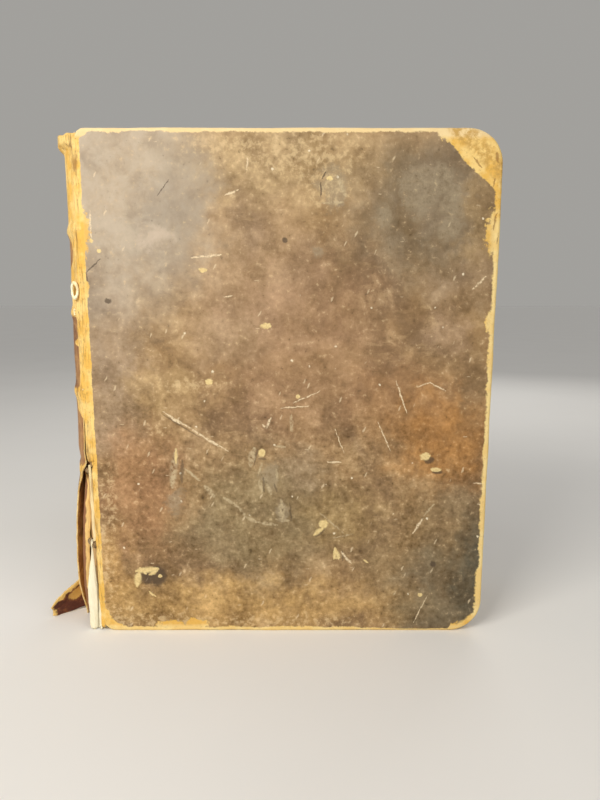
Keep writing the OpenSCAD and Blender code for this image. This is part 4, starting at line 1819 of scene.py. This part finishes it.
    def shred(self) -> Mesh:
        """Model the sheet of lining that has come loose under the torn leather.

        Returns:
            The lining as an open sheet.
        """
        bm = sheet(34, 90)
        run = bm.verts.layers.float.new("run")
        lip_share = 0.64
        for face in bm.faces:
            face.material_index = 1 if face.calc_center_median().x > lip_share else 0
        for vert in bm.verts:
            s, t = min(vert.co.x / lip_share, 1.0), vert.co.y
            turned = max(vert.co.x - lip_share, 0.0) / (1 - lip_share)
            z = lerp(*self.shred_z, t)
            ragged = math.radians(ripple_up(z, 90.0, 7.0) * 0.8 + ripple_up(z, 300.0, 2.0) * 0.4)
            angle = lerp(self.shred_root, self.shred_edge + ragged, s)
            radius = self.radius - self.leather - self.shred_under + along(self.shred_lift, z) * s**2.2
            lip = self.shred_lip * (1 + 0.35 * ripple_up(z, 110.0, 5.0))
            lip *= smooth(self.shred_z[1], self.shred_fade, z)
            curl = Vector((lip * turned, -self.shred_curl * math.sin(math.pi * turned * 0.8), 0.0))
            vert[run] = turned
            vert.co = self.at(radius, angle, z) + curl
        return bm

    def loop(self, number: int) -> Mesh:
        """Model a frayed loop or tuft of thread that stands out of the crack.

        Args:
            number: Which of the tufts.

        Returns:
            The closed loop.
        """
        x, y, z, half_wide, half_tall, half_thick = self.tufts[number]
        bm = sheet(40, 10)
        for vert in bm.verts:
            turn = vert.co.x * 2 * math.pi
            around = vert.co.y * 2 * math.pi
            thick = half_thick + 0.3 * ripple((math.cos(turn), math.sin(turn), number), 1.6, 3.0)
            wide = half_wide + thick * math.cos(around)
            tall = half_tall + thick * math.cos(around)
            out = 1.2 * math.sin(turn) ** 2 + thick * math.sin(around)
            way = Vector((math.cos(turn) * wide, -out - 0.75 * math.cos(turn) * wide, math.sin(turn) * tall))
            vert.co = (Vector((x, y, z)) + way) * MM
        closed_tube(bm)
        return bm

    def build(self) -> None:
        """Make the spine's pieces, and settle all of them but the two joint leathers."""
        shell = piece("spine_calf", self.shell(), SPINE_CALF, TORN_FIBRE, FLESH_SIDE)
        thicken(shell, self.leather, 1, 2)
        settle(shell, "text_block", "spine_leather", "spine_leather")
        flap = piece("torn_flap", self.flap(), FLAP_FLESH, TORN_FIBRE, SPINE_CALF)
        thicken(flap, self.leather, 1, 2)
        settle(flap, "text_block", "spine_leather")
        shred = piece("lining_shred", self.shred(), LINING_PAPER, LIP, SHRED)
        thicken(shred, self.shred_thick, 1, 2)
        settle(shred, "text_block", "lining_paper")
        for number in range(len(self.tufts)):
            tuft = piece(f"frayed_tuft_{number + 1}", self.loop(number), FRAYED)
            settle(tuft, "text_block", "spine_leather")
        self.build_joint(Side.FRONT, self.split_top, self.head - self.cap_drop)
        self.build_joint(Side.BACK, self.back_foot, self.head - self.back_top)
        remnant = self.strip(Side.FRONT, self.remnant_foot, self.split_top, True)
        rest = piece("front_joint_remnant", remnant, SPINE_CALF, TORN_FIBRE)
        thicken(rest, self.joint_skin * self.leather, 1)
        settle(rest, "front_cover", "spine_leather")


@dataclass
class Pages:
    """Text block with uneven leaf edges, its endbands, cords and torn endleaf."""

    low: Vector
    high: Vector
    spine: Spine
    half: float = 30.5 * MM
    fore_hollow: float = 7 * MM
    hollow_land: float = 1.5 * MM
    gatherings: int = 96
    fore_step: float = 0.35 * MM
    head_step: float = 0.3 * MM
    fore_trim: float = 0.3 * MM
    head_trim: float = 0.4 * MM
    head_wave: float = 0.25 * MM
    cord_r: float = 2.1 * MM
    cord_rise: float = 1.05 * MM
    endband_r: float = 1.6 * MM
    cord_reach: float = 34 * MM
    cord_turns: float = 26.0
    cord_strands: int = 3
    cord_gap: float = 0.1 * MM
    cord_seat: float = 0.15 * MM
    endband_turns: float = 44.0
    paper: float = 0.25 * MM
    sliver_z: tuple[float, float] = (57 * MM, 104 * MM)
    folds: tuple[tuple[float, float, float, float, float], ...] = (
        (57.0, 6.8, 5.4, 2.9, 1.5), (21.0, 2.2, 2.5, 1.0, 1.3), (40.0, 4.6, 4.9, 2.3, 3.0),
    )
    fold_width: Knots = (
        (0.0, 0.75), (0.28, 1.0), (0.46, 1.0), (0.62, 0.66), (0.86, 0.2), (0.92, 0.1), (0.96, 0.24),
        (1.0, 0.1),
    )

    @property
    def block_r(self) -> float:
        """Radius of the rounded back of the pages."""
        return self.spine.centre_x - self.low.x

    def back_x(self, y: float) -> float:
        """Place of the rounded back of the pages at a distance from the middle plane."""
        return self.spine.centre_x - math.sqrt(self.block_r**2 - y * y)

    def fore_x(self, y: float) -> float:
        """Find the place of the hollow fore-edge.

        Args:
            y: Distance from the middle plane.

        Returns:
            The place along X.
        """
        half = self.half - self.hollow_land
        radius = (half**2 + self.fore_hollow**2) / (2 * self.fore_hollow)
        if abs(y) > half:
            return self.high.x
        return self.high.x - self.fore_hollow + radius - math.sqrt(radius**2 - y * y)

    def block(self) -> Mesh:
        """Model the pages as gatherings whose edges don't quite line up.

        Returns:
            The closed block.
        """
        bm = sheet(16, 2 * self.gatherings - 1)
        for vert in bm.verts:
            row = round(vert.co.y * (2 * self.gatherings - 1))
            gathering = row // 2
            y = lerp(-self.half, self.half, (gathering + row % 2) / self.gatherings)
            step_fore = noise.noise(Vector((gathering * 1.7, 3.1, 0.0))) * self.fore_step
            step_head = noise.noise(Vector((gathering * 1.3, 8.7, 0.0))) * self.head_step
            x = lerp(self.back_x(y), self.fore_x(y) + step_fore - self.fore_trim, vert.co.x)
            wave = ripple((x, y, 0.0), 25.0, 4.0) * self.head_wave
            vert.co = (x, y, self.high.z - self.head_trim + step_head + wave)
        made = bmesh.ops.extrude_face_region(bm, geom=bm.faces[:])["geom"]
        for vert in (item for item in made if isinstance(item, bmesh.types.BMVert)):
            vert.co.z = self.low.z + (self.high.z - vert.co.z)
        rungs = [edge for edge in bm.edges if abs(edge.verts[0].co.z - edge.verts[1].co.z) > self.high.z / 2]
        bmesh.ops.subdivide_edges(bm, edges=rungs, cuts=14, use_grid_fill=True)
        bmesh.ops.recalc_face_normals(bm, faces=bm.faces)
        return bm

    def band_tube(
        self, z: float, radius: float, mid: float, reach: float, turns: float, lobes: int
    ) -> Mesh:
        """Model a twisted cord or a wrapped endband round the back of the pages.

        Args:
            z: Height of its middle.
            radius: Its radius.
            mid: Radius of the arc that it follows.
            reach: Distance from the middle plane that it reaches to.
            turns: Turns of the twist over its length.
            lobes: Strands in the twist, or 0 for a wrapped core.

        Returns:
            The closed tube, with the turn of its strands kept on the points.
        """
        bm = sheet(220, 20)
        turn = bm.verts.layers.float.new("turn")
        limit = math.asin(reach / mid)
        seat = self.block_r + self.cord_seat
        for vert in bm.verts:
            angle = lerp(limit, -limit, vert.co.x)
            around = vert.co.y * 2 * math.pi
            phase = math.cos(lobes * around + vert.co.x * turns * 2 * math.pi)
            size = radius * (0.93 + 0.07 * phase)
            at = mid + size * math.cos(around)
            if lobes:
                at = max(at, seat)
            vert.co = self.spine.at(at, angle, z + size * math.sin(around))
            # The same phase swells the strands, so the thread's finish darkens the grooves with it as painted
            # shade.
            vert[turn] = 0.5 + 0.5 * phase
        closed_tube(bm)
        return bm

    def stub(self, fold: int) -> Mesh:
        """Model one fold of the torn endleaf that stands in the split.

        Args:
            fold: Number of the fold, from the outermost.

        Returns:
            The paper as an open sheet.
        """
        bm = sheet(18, 60)
        tall, foot_shift, top_shift, wide, deep = self.folds[fold]
        for vert in bm.verts:
            s, t = vert.co.x, vert.co.y
            across = math.pi * s
            foot = 0.4 + 2.2 * (1 - math.sin(across)) ** 2
            z = lerp(foot, tall + ripple((s, 0.0, fold), 5.0) * 2.5, t) * MM
            narrow = along(self.fold_width, t)
            wander = ripple((0.0, fold, z), 60.0, 5.0) * 0.35
            middle = lerp(foot_shift, top_shift, t) + wander
            crease = 0.35 * ripple((s, z * 40, fold), 3.0) + 0.25 * abs(math.sin(3.0 * across + 5.0 * t))
            x = self.spine.joint_x - (middle + wide * narrow * math.cos(across)) * MM
            y = -self.spine.flank + (deep - 1.1 * narrow * math.sin(across) + crease) * MM
            vert.co = (x, y, z)
        return bm

    def sliver(self) -> Mesh:
        """Model the narrow edge of paper that shows in the crack above the stub.

        Returns:
            The paper as an open sheet.
        """
        bm = sheet(4, 90)
        for vert in bm.verts:
            s, t = vert.co.x, vert.co.y
            z = lerp(*self.sliver_z, t)
            wander = ripple_up(z, 70.0, 3.0) * 0.55 + ripple_up(z, 190.0, 6.0) * 0.3
            x = self.spine.joint_x - (lerp(3.3, 3.7, t) - wander) * MM
            wide = max(0.9 + 1.3 * ripple_up(z, 95.0, 5.0), 0.2) * MM
            deep = 0.6 + 0.6 * s + 0.5 * ripple_up(z, 120.0, 8.0)
            vert.co = (x + (s - 0.5) * wide, -self.spine.flank + deep * MM, z)
        return bm

    def build(self) -> None:
        """Make the pages' pieces and settle them."""
        settle(piece("page_block", self.block(), PAGES), "text_block", "pages", "text_block")
        cord_mid = self.block_r + self.cord_gap + self.cord_rise
        for number, z in enumerate(self.spine.bands, start=1):
            twist = (self.cord_reach, self.cord_turns, self.cord_strands)
            cord = piece(f"twisted_cord_{number}", self.band_tube(z, self.cord_r, cord_mid, *twist), HEMP)
            settle(cord, "text_block", "hemp_cord", f"sewing_cord_{number}")
        for name in ("head", "tail"):
            low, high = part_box(f"{name}_endband")
            arc = self.block_r - self.endband_r
            middle = (low.z + high.z) / 2
            tube = self.band_tube(middle, self.endband_r, arc, self.half, self.endband_turns, 0)
            wraps = piece(f"{name}_endband_wraps", tube, ENDBAND)
            settle(wraps, "text_block", "endband_thread", f"{name}_endband")
        for fold in range(len(self.folds)):
            paper = piece(f"endleaf_fold_{fold + 1}", self.stub(fold), STUB_PAPER)
            thicken(paper, self.paper)
            settle(paper, "text_block", "endpaper", *(["endleaf_stub"] if fold == 0 else []))
        sliver = piece("endleaf_sliver", self.sliver(), SLIVER_PAPER)
        thicken(sliver, self.paper)
        settle(sliver, "text_block", "endpaper")


@dataclass
class Studio:
    """Pale ground, soft lamps and the camera."""

    ground_half: float = 30.0
    sky: Colour = (0.31, 0.305, 0.298)
    backdrop: Colour = (0.362, 0.353, 0.334)
    sun_angle: float = math.radians(40)
    aim: tuple[float, float, float] = (0.0, 0.0, 0.14)

    def ground(self) -> None:
        """Lay a wide flat floor."""
        bm = sheet(4, 4)
        bmesh.ops.translate(bm, verts=bm.verts, vec=(-0.5, -0.5, 0.0))
        bmesh.ops.scale(bm, verts=bm.verts, vec=(2 * self.ground_half, 2 * self.ground_half, 1.0))
        piece("pale_ground", bm, PALE_GROUND)

    def light_world(self) -> None:
        """Light the scene evenly from all round, with a pale backdrop where it is seen."""
        world = bpy.data.worlds.new("soft_sky")
        world.use_nodes = True
        graph = Graph(world.node_tree)
        path = graph.node("ShaderNodeLightPath").outputs
        seen = graph.math("MAXIMUM", path["Is Camera Ray"], path["Is Glossy Ray"])
        seen = graph.math("MAXIMUM", seen, path["Is Transmission Ray"])
        sky = graph.node("ShaderNodeBackground", {"Color": graph.mix(seen, self.sky, self.backdrop)})
        graph.node("ShaderNodeOutputWorld", {0: sky.outputs[0]})
        bpy.context.scene.world = world

    def sun(self, name: str, way: Vector, power: float, colour: Colour) -> None:
        """Add very soft light from one direction.

        Args:
            name: Name of the lamp.
            way: Direction that the light travels in.
            power: Power in watts per square metre.
            colour: Colour of the light.
        """
        data = bpy.data.lights.new(name, "SUN")
        data.energy = power
        data.angle = self.sun_angle
        data.color = colour
        lamp = bpy.data.objects.new(name, data)
        lamp.rotation_euler = way.to_track_quat("-Z", "Y").to_euler()
        bpy.context.scene.collection.objects.link(lamp)

    def lamp(self, name: str, place: Vector, aim: Vector, size: float, power: float, colour: Colour) -> None:
        """Hang a soft square lamp.

        Args:
            name: Name of the lamp.
            place: Where it hangs.
            aim: Point that it faces.
            size: Length of its side.
            power: Power in watts.
            colour: Colour of its light.
        """
        data = bpy.data.lights.new(name, "AREA")
        data.size = size
        data.energy = power
        data.color = colour
        lamp = bpy.data.objects.new(name, data)
        lamp.location = place
        lamp.rotation_euler = (aim - place).to_track_quat("-Z", "Y").to_euler()
        bpy.context.scene.collection.objects.link(lamp)

    def build(self) -> None:
        """Set up the ground, the light and the camera."""
        VIEW.add()
        self.ground()
        middle = Vector(self.aim)
        self.lamp("key_lamp", Vector((-0.46, -0.62, 0.62)), middle, 0.45, 6.2, (1.0, 0.97, 0.92))
        self.lamp("back_lamp", Vector((0.45, 0.95, 0.75)), middle, 0.7, 2.6, (1.0, 0.98, 0.95))
        self.sun("fill_light", Vector((-0.5, 0.5, -0.62)), 0.55, (0.95, 0.97, 1.0))
        self.light_world()
        bpy.context.scene.view_settings.view_transform = "Standard"


def dress_nodes() -> None:
    """Give the flat nodes whose shape is right their finishes."""
    finishes = {
        "front_board": PASTEBOARD, "back_board": PASTEBOARD,
        "front_flyleaf": ENDPAPER, "back_flyleaf": ENDPAPER,
        "front_pastedown": ENDPAPER, "back_pastedown": ENDPAPER,
        "spine_lining": LINING_PAPER,
        "front_lacing_slips": PASTEBOARD, "back_lacing_slips": PASTEBOARD,
    }
    for name, finish in finishes.items():
        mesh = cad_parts[name].data
        mesh.materials.clear()
        mesh.materials.append(finish.material())
        log.info("%s dressed as %s", name, finish.name)


def main() -> None:
    """Build the studio and the book's pieces in order."""
    logging.basicConfig(level=logging.INFO, format="%(message)s")
    Studio().build()
    low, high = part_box("front_leather")
    front_calf = CalfFinish(
        "front_calf", low.y, fields=FRONT_TONE_AND_SHADE_FIELDS, painted_sheen=FRONT_PAINTED_SHEEN, rubs=FRONT_RUBS,
        bares=FRONT_BARES, chips=FRONT_CHIPS, skins=FRONT_SKINS, holes=FRONT_HOLES,
        scratches=FRONT_SCRATCHES, smears=FRONT_SMEARS, flakes=FRONT_FLAKES, shadows=FRONT_SHADOWS,
        tears_and_crease_shade=FRONT_TEARS_AND_CREASE_SHADE, bruises=FRONT_BRUISES,
    )
    Cover(Side.FRONT, front_calf, low, high).build()
    back_low, back_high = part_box("back_leather")
    Cover(Side.BACK, CalfFinish("back_calf", back_high.y), back_low, back_high).build()
    cords = sorted(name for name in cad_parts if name.startswith("sewing_cord_"))
    bands = tuple(sum(corner.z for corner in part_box(name)) / 2 for name in cords)
    spine = Spine(low.x, -low.y, high.z, bands)
    spine.build()
    block_low, block_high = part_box("text_block")
    Pages(block_low, block_high, spine).build()
    dress_nodes()


if __name__ == "__main__":
    main()
